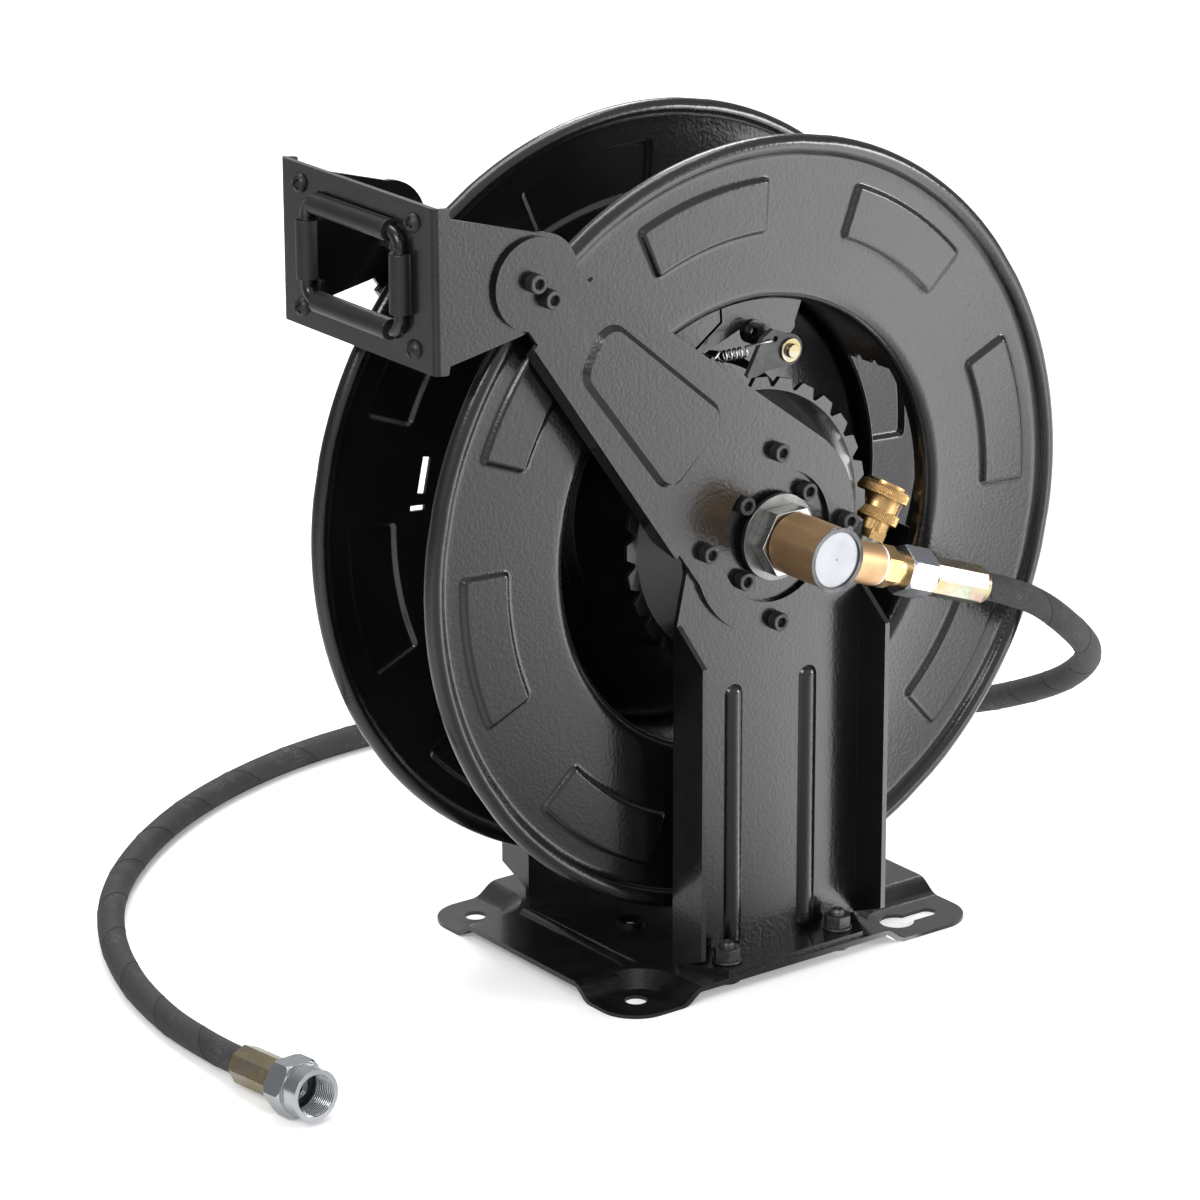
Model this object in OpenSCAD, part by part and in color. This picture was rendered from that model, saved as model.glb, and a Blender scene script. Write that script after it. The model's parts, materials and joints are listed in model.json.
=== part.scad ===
/* [Reel] */
// Outer radius of the two side discs
disc_r = 210; // [195:1:225]
// Sheet thickness of the side discs
disc_t = 2; // [1.5:0.1:2.5]
// Distance between the inner faces of the side discs
drum_w = 98; // [92:1:104]
// Radius of the round opening in each disc
hole_r = 121.5; // [118:0.5:126]
// Radius of the rolled bead on the rim of a disc
bead_r = 5; // [4:0.5:6]
// Radius of the rounded lip at the opening of a disc
lip_r = 7.5; // [6:0.5:9]
// Wall of the drum barrel and of the web inside it
barrel_t = 2; // [1.5:0.1:2.5]
// Distance of the web from the middle plane of the drum
web_y = 8; // [6:0.5:10]
// Radius of the raised boss of the web
boss_r = 77; // [70:1:80]
// Height of the axle above the floor
axle_z = 241; // [236:1:246]

/* [Pads pressed in the discs] */
// Number of pads on each disc
pad_count = 8; // [6:1:9]
// Angle that one pad covers
pad_deg = 27; // [20:1:30]
// Inner radius of a pad
pad_in_r = 158; // [150:1:165]
// Outer radius of a pad
pad_out_r = 189; // [180:1:190]
// Height of a pad above the disc
pad_h = 2.5; // [1.5:0.5:3]
// Turn of the first pad from the long side
pad_first = 10.5; // [0:0.5:20]

/* [Window of the drum barrel] */
// Angle where the window starts
window_from = -13; // [-20:1:-5]
// Angle that the window covers
window_deg = 44; // [35:1:50]
// Width of the window along the axle
window_w = 38; // [30:1:42]

/* [Base plate] */
// Reach of the plate on the guide side of the axle
base_left = 115; // [110:1:120]
// Reach of the plate on the far side of the axle
base_right = 128; // [124:1:134]
// Width of the plate across the reel
base_w = 188; // [186:1:200]
// Corner radius of the plate
base_corner = 22; // [16:1:26]
// Rise of the middle of the plate above its ears
base_rise = 6.5; // [6:0.5:9]
// Sheet thickness of plate, posts, arms and guide
sheet = 3; // [2.5:0.5:3.5]
// Length of an ear with a round hole along the reel
ear_x = 39; // [36:1:44]
// Length of an ear with a round hole across the reel
ear_y = 35.5; // [33:0.5:38]
// Length of an ear with a keyhole along the reel
key_ear_x = 56.5; // [54:0.5:60]
// Length of an ear with a keyhole across the reel
key_ear_y = 40; // [37:1:42]
// Radius of the inner corner of an ear
ear_r = 15; // [12:1:18]
// Width of the slope round an ear
ear_ramp = 8.5; // [7:0.5:10]
// Radius of the round fixing holes
ear_hole_r = 6; // [5:0.5:7]
// Distance of the round fixing holes from the axle
ear_hole_x = 93.5; // [92:0.5:97]
// Half the spacing of the fixing holes across the reel
ear_hole_y = 73; // [72:1:75]
// Radius of the wide end of a keyhole
key_r = 9.5; // [8:0.5:10]
// Radius of the narrow end of a keyhole
key_slot_r = 5; // [4:0.5:6]
// Distance of the wide end of a keyhole from the axle
key_x = 86; // [84:1:88]
// Length of a keyhole between its two centres
key_len = 22; // [20:1:24]

/* [Posts] */
// Width of a post
post_w = 126; // [122:1:132]
// Distance from the middle plane to the inner face of a post
post_y = 65; // [64:1:68]
// Depth of the side flanges of a post
post_flange = 22; // [18:1:24]
// Drop of the shoulders of a post below the axle
shoulder_drop = 38; // [34:1:44]
// Radius of the round head of a post and of an arm
head_r = 53; // [52:0.5:55]
// Half the spacing of the pressed ribs of a post
rib_x = 25; // [21:1:25]
// Depth of the foot of a post
foot_d = 24; // [23:1:25]

/* [Arms] */
// Distance of the arm tip from the axle along the floor
tip_x = 155; // [150:1:160]
// Height of the arm tip above the axle
tip_z = 162; // [158:1:166]
// Radius of the tip of an arm
tip_r = 24; // [22:0.5:26]
// Half width of the arm on its lower side at the axle
arm_low = 54.6; // [53:0.2:56]
// Half width of the arm on its upper side at the axle
arm_high = 57.8; // [56.6:0.2:60]
// Half width of the arm at its tip
arm_tip_half = 20; // [18:0.5:21]
// Depth of the edge flanges of an arm
arm_flange = 14; // [10:1:14]
// Radius of the round opening in an arm
arm_hole_r = 36; // [35.5:0.5:37]
// Height of the pressed panel of an arm
panel_h = 3; // [2:0.5:3.5]

/* [Hose guide] */
// Reach of the guide plate from the axle
guide_x = 213.7; // [212:0.1:215]
// Height of the guide plate
guide_h = 85; // [84:0.5:88]
// Centre of the guide above the axle
guide_cz = 166.3; // [164:0.1:168]
// Half the distance between the upright rollers
roller_y = 41.5; // [40:0.1:41.6]
// Half the distance between the level rollers
roller_z = 25.5; // [25:0.1:26.5]
// Outer radius of a roller
roller_r = 5.6; // [5:0.1:5.7]
// Radius of the pins that carry the rollers
pin_r = 2.6; // [2.2:0.1:3]
// Radius of the bent sockets that hold the pins at the corners
socket_r = 3.3; // [3.1:0.1:3.6]
// Bend radius of the sockets
socket_bend = 8; // [7.5:0.1:8.5]
// Half spacing of the guide screws across the reel
guide_screw_y = 49.8; // [49.6:0.1:52]
// Half spacing of the guide screws in height
guide_screw_z = 32.4; // [31.5:0.1:33]

/* [Shaft and bearings] */
// Radius of the hollow drum shaft
shaft_r = 12.5; // [12:0.1:13]
// Radius of the bore through the drum shaft
shaft_bore_r = 5; // [4:0.5:6]
// Radius of the shaft end inside the swivel
stem_r = 9; // [8.5:0.1:9.5]
// Outer radius of the front bearing
bearing_r = 23.5; // [22:0.5:24]
// Width of the front bearing
bearing_w = 10; // [8:1:10]
// Radius of the bearing housing
housing_r = 35; // [34:0.5:36]
// Radial running clearance
run = 0.05; // [0.02:0.01:0.08]

/* [Ratchet and pawl] */
// Number of ratchet teeth
tooth_count = 30; // [20:10:40]
// Radius over the tips of the teeth
tooth_tip_r = 80; // [79:0.5:80]
// Radius at the roots of the teeth
tooth_root_r = 75; // [74:0.5:75]
// Radius of the flat middle of the ratchet wheel
dish_r = 58; // [56:1:60]
// Angle of the tooth gap that the pawl sits in
gap_deg = 90; // [86:1:94]
// Distance of the pawl pivot from the axle along the floor
pawl_x = 26.5; // [25:0.5:28]
// Height of the pawl pivot above the axle
pawl_z = 91.5; // [91:0.5:93]
// Radius of the pawl pin
pawl_pin_r = 3.7; // [3:0.1:4]

/* [Power spring] */
// Outer radius of the spring case
case_r = 100; // [92:1:108]
// Number of turns of the power spring
spring_turns = 5; // [3:1:8]
// Thickness of the spring strip
spring_t = 1.2; // [0.8:0.1:1.6]

/* [Swivel and inlet] */
// Distance of the front of the swivel from the middle plane
swivel_front = 122; // [120:1:124]
// Radius of the swivel body
swivel_r = 16.6; // [16.5:0.1:17.5]
// Radius of the cover disc of the swivel
cap_r = 15.4; // [15:0.1:15.6]
// Distance of the inlet port from the middle plane
port_y = 108; // [106:0.5:109]
// Radius of the inlet port
port_r = 11.3; // [10:0.1:11.5]
// Width across flats of the inlet adapter
adapter_af = 20; // [18:1:22]
// Width across flats of the inlet nut
inlet_af = 24; // [22:1:26]
// Radius of the crimped ferrules
ferrule_r = 10; // [9:0.5:11]
// Radius of the inlet hose
hose_r = 7.5; // [6.5:0.5:8]
// Width across flats of the nut on the hose end
end_af = 28; // [27:0.5:28.5]

/* [Outlet coupler] */
// Outer radius of the knurled bands of the coupler
band_r = 14.5; // [13:0.5:15]
// Radius of the coupler body inside its sleeve
core_r = 10.5; // [10:0.1:11]
// Tilt of the coupler from upright
coupler_tilt = 30; // [26:1:34]

/* [Fasteners] */
// Radius of the six millimetre screws
m6_r = 3; // [2.8:0.1:3.2]
// Radius of the socket screw heads
m6_head_r = 5; // [4.5:0.1:5.2]
// Height of the socket screw heads
m6_head_h = 6; // [5:0.5:8]
// Radius of the foot bolts
m8_r = 4; // [3.5:0.1:4.2]
// Width across flats of the foot nuts
m8_af = 13; // [12:0.5:14]
// Radius of the circle of the arm screws
arm_circle = 46.5; // [44:0.5:47]
// Radius of the circle of the hub screws
hub_circle = 29.3; // [28:0.1:30]

/* [Hidden] */
$fn = 96;

// Finishes
black = [0.09, 0.09, 0.1];
steel = [0.75, 0.75, 0.76];
zinc = [0.83, 0.83, 0.78];
brass = [0.72, 0.55, 0.27];
rubber = [0.15, 0.15, 0.15];
white = [0.92, 0.92, 0.9];

// The axle stands off the middle of the floor so that the reel is centred there
axle_x = (guide_x + socket_r - 1 + roller_r - disc_r) / 2;
axle_y = (swivel_front - base_w / 2) / 2;

// Levels and planes, measured from the axle and the middle plane of the drum
slab_z = base_rise + sheet;
disc_in = drum_w / 2;
disc_out = disc_in + disc_t;
barrel_in = hole_r + disc_t + 0.1;
barrel_out = barrel_in + barrel_t;
barrel_end = disc_out - lip_r + 0.9;
web_in = post_y;
web_out = post_y + sheet;
arm_out = web_out + sheet;
free_y = web_out + post_flange;
clear_hole = m6_r + 0.3;
foot_bolt_x = 38;
foot_bolt_y = web_out + 12;

// Small overlap that joins shapes of one piece, and a length that cuts right through
bite = 0.5;
through = 400;

module at_axle() translate([axle_x, axle_y, axle_z]) children();
module on_floor() translate([axle_x, axle_y, 0]) children();
module both_sides() { children(); mirror([0, 1, 0]) children(); }
// A flat outline drawn in X and Z becomes a sheet between two distances from the middle plane
module front_sheet(near, far) translate([0, -near, 0]) rotate([90, 0, 0]) linear_extrude(far - near) children();
// A rod along the axle between two distances from the middle plane, on the front side
module front_rod(r, near, far, sides = 0) translate([0, -near, 0]) rotate([90, 0, 0])
    cylinder(r = r, h = far - near, $fn = sides > 0 ? sides : $fn);
// A turned profile drawn as radius and place along the axle
module turned(deg = 360) rotate([-90, 0, 0]) rotate_extrude(angle = deg) children();
function corner_r(af) = af / sqrt(3);

// Four screw places on a circle about the axle
module on_circle(r, first) for (a = [0:90:270]) rotate([0, a + first, 0]) translate([r, 0, 0]) children();

module rounded_outline(x0, x1, w, r) {
    translate([x0 + r, -w / 2]) square([x1 - x0 - 2 * r, w]);
    translate([x0, r - w / 2]) square([x1 - x0, w - 2 * r]);
    for (x = [x0 + r, x1 - r], y = [r - w / 2, w / 2 - r]) translate([x, y]) circle(r);
}

// Ears: corners of the plate pressed down to the floor, inside a slope with a rounded inner corner
ear_bevel = sheet * tan(atan2(base_rise, ear_ramp) / 2);

// A pocket that widens from one radius and height to another; its inner corner is the origin here
module pocket(r0, z0, r1, z1) {
    rotate([90, 0, 90]) mirror([0, 0, 1]) linear_extrude(through) pocket_profile(r0, z0, r1, z1);
    mirror([1, -1, 0]) rotate([90, 0, 90]) mirror([0, 0, 1]) linear_extrude(through)
        pocket_profile(r0, z0, r1, z1);
    translate([0, 0, z0]) cylinder(r1 = r0, r2 = r1, h = z1 - z0);
}
module pocket_profile(r0, z0, r1, z1) polygon([[-through, z0], [r0, z0], [r1, z1], [-through, z1]]);

// Places the inner corners of the four ears, with plus X and plus Y towards the middle of the plate
module at_ears() for (y = [-1, 1], left = [true, false])
    translate([left ? -base_left + ear_x - ear_r : base_right - key_ear_x + ear_r,
        y * (base_w / 2 - (left ? ear_y : key_ear_y) + ear_r), 0])
        mirror([left ? 0 : 1, 0, 0]) mirror([0, y > 0 ? 1 : 0, 0]) children();

module base_outline() rounded_outline(-base_left, base_right, base_w, base_corner);
module ear_inside() pocket(ear_r - ear_ramp / base_rise, sheet - 1, ear_r + ear_ramp * (1 + 1 / base_rise), slab_z + 1);
module ear_outside() {
    pocket(ear_r + ear_bevel, 0, ear_r + ear_bevel + ear_ramp, base_rise);
    pocket(ear_r + ear_bevel + ear_ramp - 0.1, base_rise - 0.1, ear_r + ear_bevel + ear_ramp, base_rise + bite);
}

bead_half = 46;
module base_plate() color(black) on_floor() difference() {
    union() {
        translate([0, 0, base_rise]) linear_extrude(sheet) base_outline();
        intersection() {
            linear_extrude(slab_z) base_outline();
            at_ears() ear_outside();
        }
        // Stiffening beads and the collars of two drain holes
        intersection() {
            for (x = [-79, 79]) translate([x, 0, slab_z - 2.6]) rotate([90, 0, 0])
                cylinder(r = 5, h = 2 * bead_half, center = true);
            translate([-base_left, -base_w / 2, base_rise]) cube([base_left + base_right, base_w, slab_z]);
        }
        for (x = [-42, 42]) translate([x, 0, base_rise]) cylinder(r = 8.2, h = sheet + 1.8);
    }
    at_ears() ear_inside();
    for (y = [-1, 1]) {
        translate([-ear_hole_x, y * ear_hole_y, -1]) cylinder(r = ear_hole_r, h = slab_z + 2);
        translate([key_x, y * ear_hole_y, -1]) cylinder(r = key_r, h = slab_z + 2);
        translate([key_x + key_len, y * ear_hole_y, -1]) cylinder(r = key_slot_r, h = slab_z + 2);
        translate([key_x, y * ear_hole_y - key_slot_r, -1]) cube([key_len, 2 * key_slot_r, slab_z + 2]);
        for (x = [-foot_bolt_x, foot_bolt_x]) translate([x, y * foot_bolt_y, -1])
            cylinder(r = m8_r + 0.2, h = slab_z + 2);
    }
    for (x = [-42, 42]) translate([x, 0, -1]) cylinder(r = 6.2, h = slab_z + 4);
}

// Post: web, side flanges that face away from the drum, foot and two pressed ribs
shoulder_z = -shoulder_drop;
floor_z = slab_z - axle_z;
rib_r = 6.9;
rib_rise = 3.5;
rib_from = floor_z + 9;
rib_to = -84;

module post_outline() {
    polygon([[-post_w / 2, floor_z], [post_w / 2, floor_z], [post_w / 2, shoulder_z],
        [head_r + 4, -11], [head_r, 0], [-head_r, 0], [-head_r - 4, -11], [-post_w / 2, shoulder_z]]);
    circle(head_r);
}

module post_flanges() for (x = [-post_w / 2, post_w / 2 - sheet]) translate([x, 0, 0]) rotate([90, 0, 90])
    linear_extrude(sheet) polygon([[-web_in, floor_z], [-web_out, floor_z + sheet], [-free_y, floor_z + 12],
        [-free_y, shoulder_z - post_flange + 4], [-web_out, shoulder_z], [-web_in, shoulder_z]]);

module post_foot() translate([0, 0, floor_z]) linear_extrude(sheet) polygon([[-post_w / 2 + 2, -web_in],
    [-post_w / 2 + 17, -web_out - foot_d], [post_w / 2 - 17, -web_out - foot_d], [post_w / 2 - 2, -web_in]]);

module rib(r, z0, z1, y) translate([0, y, 0]) {
    translate([0, 0, z0]) cylinder(r = r, h = z1 - z0);
    for (z = [z0, z1]) translate([0, 0, z]) sphere(r);
}

module post() difference() {
    union() {
        front_sheet(web_in, web_out) post_outline();
        post_flanges();
        post_foot();
        intersection() {
            for (x = [-rib_x, rib_x]) translate([x, 0, 0]) rib(rib_r, rib_from, rib_to, rib_r - web_out - rib_rise);
            translate([-post_w / 2, -free_y, floor_z]) cube([post_w, free_y - web_in, through]);
        }
    }
    for (x = [-rib_x, rib_x]) translate([x, 0, 0]) rib(rib_r - sheet / 2, rib_from, rib_to, rib_r - web_out);
    front_rod(shaft_r + 3, web_in - 1, web_out + 1);
    on_circle(arm_circle, 0) front_rod(clear_hole, web_in - 1, web_out + 1);
    on_circle(hub_circle, 45) front_rod(clear_hole, web_in - 1, web_out + 1);
    for (x = [-foot_bolt_x, foot_bolt_x]) translate([x, -foot_bolt_y, floor_z - 1])
        cylinder(r = m8_r + 0.2, h = sheet + 2);
}

module front_post() color(black) at_axle() post();
module rear_post() color(black) at_axle() mirror([0, 1, 0]) post();

// Arm: drawn along its own length from the axle, with plus v on its lower side
arm_len = sqrt(tip_x * tip_x + tip_z * tip_z);
arm_turn = atan2(tip_z, -tip_x);
low_slope = (arm_tip_half - arm_low) / arm_len;
high_slope = (arm_high - arm_tip_half) / arm_len;
flange_from = 46;
flange_to = arm_len - 24;
high_from = 10;
tip_screws_u = [arm_len + 2, arm_len - 11.5];
function low_v(u) = arm_low + low_slope * u;
function high_v(u) = -arm_high + high_slope * u;

module along_arm() rotate([0, -arm_turn, 0]) children();
// Plus v is the lower side of the arm, and minus v the upper side
module arm_outline() {
    polygon([[0, low_v(0) - sheet], [flange_from, low_v(flange_from) - sheet], [flange_from, low_v(flange_from)],
        [flange_to, low_v(flange_to)], [flange_to, low_v(flange_to) - sheet], [arm_len, low_v(arm_len) - sheet],
        [arm_len, high_v(arm_len) + sheet], [flange_to - 3, high_v(flange_to - 3) + sheet],
        [flange_to - 3, high_v(flange_to - 3)], [high_from, high_v(high_from)], [high_from, high_v(high_from) + sheet],
        [0, -head_r]]);
    circle(head_r);
    translate([arm_len, 0]) circle(tip_r);
}

// One edge flange: a strip under the edge, with both ends cut back; it stays shallow beside the ratchet wheel
ends = 8;
module edge_flange(u0, v0, u1, v1, side, low_from, low_to) {
    run_len = sqrt((u1 - u0) * (u1 - u0) + (v1 - v0) * (v1 - v0));
    translate([u0, -arm_out, v0]) rotate([0, -atan2(v1 - v0, u1 - u0), 0])
        translate([0, 0, side > 0 ? -sheet : 0]) linear_extrude(sheet)
        polygon([[0, 0], [run_len, 0], [run_len, sheet], [run_len - ends, arm_flange], [low_to, arm_flange],
            [low_from, sheet + 2.5], [0, sheet]]);
}

// Corners of the pressed panel: along the arm and across it
panel_corners = [[86, 14.5], [86, -14], [162, -6], [158, 6.5]];
module panel(r, near, far) for (c = panel_corners) translate([c[0], 0, c[1]]) front_rod(r, near, far, 32);

module arm() along_arm() difference() {
    union() {
        front_sheet(web_out, arm_out) arm_outline();
        edge_flange(flange_from, low_v(flange_from), flange_to, low_v(flange_to), 1, 2, ends);
        edge_flange(high_from, high_v(high_from), flange_to - 3, high_v(flange_to - 3), -1, 20, 39);
        hull() {
            panel(12, arm_out - bite, arm_out);
            panel(9, arm_out, arm_out + panel_h);
        }
    }
    front_rod(arm_hole_r, web_out - 1, arm_out + 1);
    rotate([0, arm_turn, 0]) on_circle(arm_circle, 0) front_rod(clear_hole, web_out - 1, arm_out + 1);
    for (u = tip_screws_u) translate([u, 0, 0]) front_rod(clear_hole, web_out - 1, arm_out + 1);
}

module front_arm() color(black) at_axle() arm();
module rear_arm() color(black) at_axle() mirror([0, 1, 0]) arm();

// Guide: front plate with its window, and a side plate behind each arm tip
guide_top = guide_cz + guide_h / 2;
guide_bottom = guide_cz - guide_h / 2;
roller_x = guide_x + socket_r - 1;
corner_y = roller_y - socket_bend;
corner_z = roller_z - socket_bend;
level_len = 2 * corner_y - 1;
upright_len = 2 * corner_z - 4;
socket_end = upright_len / 2 + 0.5;
gap_round = 0.7;

module guide_side() front_sheet(web_in, web_out) {
    polygon([[-guide_x, guide_bottom], [-guide_x + 8, guide_bottom - 0.5], [-guide_x + 9, guide_bottom + 4],
        [-tip_x - 7, guide_bottom + 12], [-tip_x + 5, tip_z - 23], [-tip_x + 5, tip_z + 25],
        [-guide_x + 10, guide_top - 6.5], [-guide_x + 9, guide_top - 1], [-guide_x, guide_top]]);
    translate([-tip_x + 5, tip_z + 1]) circle(tip_r);
}

// Bent sockets at the corners of the window, pressed from the plate
module sockets() translate([-roller_x, 0, guide_cz]) {
    for (a = [[1, 1, 0], [-1, 1, 90], [-1, -1, 180], [1, -1, 270]])
        translate([0, a[0] * corner_y, a[1] * corner_z]) rotate([a[2], 0, 0])
            rotate([90, 0, 90]) rotate_extrude(angle = 90) translate([socket_bend, 0]) circle(socket_r);
    for (y = [-roller_y, roller_y], z = [-1, 1]) translate([0, y, z > 0 ? socket_end : -corner_z])
        cylinder(r = socket_r, h = corner_z - socket_end);
}

module guide_bracket() color(black) at_axle() difference() {
    union() {
        difference() {
            union() {
                translate([-guide_x, -web_out, guide_bottom]) cube([sheet, 2 * web_out, guide_h]);
                both_sides() guide_side();
            }
            for (w = [[corner_y + 0.3, roller_z + roller_r + gap_round], [roller_y + roller_r + gap_round, socket_end - 0.3]])
                translate([-guide_x - 1, -w[0], guide_cz - w[1]]) cube([sheet + 2, 2 * w[0], 2 * w[1]]);
        }
        sockets();
    }
    for (y = [-1, 1], z = [-1, 1]) translate([-guide_x - 1, y * guide_screw_y, guide_cz + z * guide_screw_z])
        rotate([0, 90, 0]) cylinder(r = 2.6, h = sheet + 2);
    both_sides() along_arm() for (u = tip_screws_u) translate([u, 0, 0]) front_rod(clear_hole, web_in - 1, web_out + 1);
}

// Pins between the sockets, with a roller on each
module roller_pins() color(steel) at_axle() translate([-roller_x, 0, guide_cz]) {
    for (z = [-roller_z, roller_z]) translate([0, 0, z]) rotate([90, 0, 0])
        cylinder(r = pin_r, h = 2 * corner_y, center = true);
    for (y = [-roller_y, roller_y]) translate([0, y, 0]) cylinder(r = pin_r, h = 2 * socket_end, center = true);
}

module roller(len) difference() {
    cylinder(r = roller_r, h = len, center = true);
    cylinder(r = pin_r + run, h = len + 2, center = true);
}

module level_roller(side) color(black) at_axle() translate([-roller_x, 0, guide_cz + side * roller_z])
    rotate([90, 0, 0]) roller(level_len);
module upright_roller(side) color(black) at_axle() translate([-roller_x, side * roller_y, guide_cz])
    roller(upright_len);
module roller_top() level_roller(1);
module roller_bottom() level_roller(-1);
module roller_front() upright_roller(-1);
module roller_rear() upright_roller(1);

module at_guide_screws() at_axle() for (y = [-1, 1], z = [-1, 1])
    translate([-guide_x, y * guide_screw_y, guide_cz + z * guide_screw_z]) rotate([0, 90, 0]) children();

dome_r = 5.4;
dome_h = 4.4;
module guide_screws() color(black) at_guide_screws() {
    cylinder(r = 2.5, h = 11);
    difference() {
        intersection() {
            translate([0, 0, (dome_r * dome_r - dome_h * dome_h) / (2 * dome_h)])
                sphere((dome_r * dome_r + dome_h * dome_h) / (2 * dome_h));
            translate([0, 0, -dome_h]) cylinder(r = dome_r, h = dome_h);
        }
        for (a = [0, 90]) rotate([0, 0, a + 20]) translate([-3, -0.55, -dome_h - 1]) cube([6, 1.1, 2.6]);
    }
}

module guide_nuts() color(steel) at_guide_screws() translate([0, 0, sheet]) difference() {
    cylinder(r = corner_r(8), h = 4, $fn = 6);
    translate([0, 0, -1]) cylinder(r = 2.5, h = 6);
}

// Socket screw seated on a plane at the given distance, with its shank towards the drum
module socket_screw(seat, len) difference() {
    union() {
        front_rod(m6_head_r, seat, seat + m6_head_h);
        front_rod(m6_r, seat - len, seat + bite);
    }
    front_rod(corner_r(5), seat + m6_head_h - 3, seat + m6_head_h + 1, 6);
}
module plain_nut(af, r, near, far) difference() {
    front_rod(corner_r(af), near, far, 6);
    front_rod(r, near - 1, far + 1);
}

flange_t = 2.5;
nut_h = 5;
module arm_screws() color(black) at_axle() both_sides() on_circle(arm_circle, 0)
    socket_screw(arm_out, 2 * sheet + flange_t + nut_h + 1);
module arm_nuts() color(steel) at_axle() both_sides() on_circle(arm_circle, 0)
    plain_nut(10, m6_r, web_in - flange_t - nut_h, web_in - flange_t);
module tip_screws() color(black) at_axle() both_sides() along_arm()
    for (u = tip_screws_u) translate([u, 0, 0]) socket_screw(arm_out, 2 * sheet + nut_h + 1);
module tip_nuts() color(steel) at_axle() both_sides() along_arm()
    for (u = tip_screws_u) translate([u, 0, 0]) plain_nut(10, m6_r, web_in - nut_h, web_in);
hub_screw_len = 14;
module hub_screws() color(black) at_axle() both_sides() on_circle(hub_circle, 45)
    socket_screw(web_out, hub_screw_len);

module at_foot_bolts() on_floor() for (x = [-1, 1], y = [-1, 1])
    translate([x * foot_bolt_x, y * foot_bolt_y, 0]) children();
foot_top = slab_z + sheet;
washer_t = 1.6;
foot_nut_h = 6.5;
module foot_bolts() color(black) at_foot_bolts() {
    translate([0, 0, base_rise - 5.3]) cylinder(r = corner_r(m8_af), h = 5.3, $fn = 6);
    translate([0, 0, base_rise - bite]) cylinder(r = m8_r, h = foot_top + washer_t + foot_nut_h + 3 - base_rise + bite);
}
module foot_washers() color(black) at_foot_bolts() translate([0, 0, foot_top]) difference() {
    cylinder(r = 8, h = washer_t);
    translate([0, 0, -1]) cylinder(r = m8_r, h = washer_t + 2);
}
module foot_nuts() color(black) at_foot_bolts() translate([0, 0, foot_top + washer_t]) difference() {
    cylinder(r = corner_r(m8_af), h = foot_nut_h, $fn = 6);
    translate([0, 0, -1]) cylinder(r = m8_r, h = foot_nut_h + 2);
}

// Ratchet wheel: a dish on the front post with teeth round its rim, in the plane of the pawl
tooth_in = 44.5;
tooth_out = tooth_in + sheet;
pitch = 360 / tooth_count;
rim_in_r = tooth_root_r - 3;
// Tooth flanks: half a gap at the root and at the tip, as angles
gap_root = 0.9;
gap_tip = 3.1;
module tooth_ring() front_sheet(tooth_in, tooth_out) difference() {
    union() {
        circle(tooth_root_r);
        for (i = [0:tooth_count - 1]) rotate(gap_deg + (i + 0.5) * pitch) polygon([
            [rim_in_r, -rim_in_r * tan(pitch / 2 - gap_root)], [tooth_root_r, -tooth_root_r * tan(pitch / 2 - gap_root)],
            [tooth_tip_r, -tooth_tip_r * tan(pitch / 2 - gap_tip)], [tooth_tip_r, tooth_tip_r * tan(pitch / 2 - gap_tip)],
            [tooth_root_r, tooth_root_r * tan(pitch / 2 - gap_root)], [rim_in_r, rim_in_r * tan(pitch / 2 - gap_root)]]);
    }
    circle(rim_in_r);
}
module ratchet_wheel() color(black) at_axle() difference() {
    union() {
        tooth_ring();
        turned() polygon([[housing_r + 0.2, -web_in], [dish_r, -web_in], [rim_in_r + 1.5, -tooth_out],
            [rim_in_r + 1.5, -tooth_in], [rim_in_r - 1, -tooth_in], [rim_in_r - 1, -tooth_out + 0.6],
            [dish_r - 1.5, -web_in + flange_t], [housing_r + 0.2, -web_in + flange_t]]);
    }
    on_circle(arm_circle, 0) front_rod(clear_hole, tooth_in, web_in + 1);
}

// Bearing housing behind the front post, with its bearing; it runs on the drum shaft
housing_back = web_in - 14;
module bearing_housing() color(black) at_axle() difference() {
    front_rod(housing_r, housing_back, web_in);
    front_rod(bearing_r, housing_back - 1, housing_back + bearing_w);
    front_rod(shaft_r + 3, housing_back, web_in + 1);
    on_circle(hub_circle, 45) front_rod(m6_r, web_in - hub_screw_len + sheet, web_in + 1);
}
module front_bearing() color(steel) at_axle() difference() {
    front_rod(bearing_r, housing_back, housing_back + bearing_w);
    front_rod(shaft_r + run, housing_back - 1, housing_back + bearing_w + 1);
    for (y = [housing_back - 1, housing_back + bearing_w - 1]) difference() {
        front_rod(bearing_r - 3.5, y, y + 2);
        front_rod(shaft_r + 3, y - 1, y + 3);
    }
}

// Fixed rear axle in a flanged hub on the rear post; the drum turns on it
axle_end = 20;
module rear_hub() color(black) at_axle() mirror([0, 1, 0]) difference() {
    union() {
        front_rod(arm_circle + 8, web_in - flange_t, web_in);
        front_rod(housing_r, web_in - 13, web_in);
    }
    front_rod(shaft_r, web_in - 14, web_in + 1);
    on_circle(hub_circle, 45) front_rod(m6_r, web_in - hub_screw_len + sheet, web_in + 1);
    on_circle(arm_circle, 0) front_rod(clear_hole, web_in - flange_t - 1, web_in + 1);
}
rear_thread_r = shaft_r - 2.5;
module rear_axle() color(steel) at_axle() mirror([0, 1, 0]) {
    front_rod(shaft_r, axle_end, web_out);
    front_rod(spiral_in - 0.05, axle_end, case_to - 12);
    front_rod(rear_thread_r, web_out - bite, web_out + 13);
}
module rear_axle_nut() color(steel) at_axle() mirror([0, 1, 0]) plain_nut(32, rear_thread_r, web_out, web_out + 10);

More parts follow.
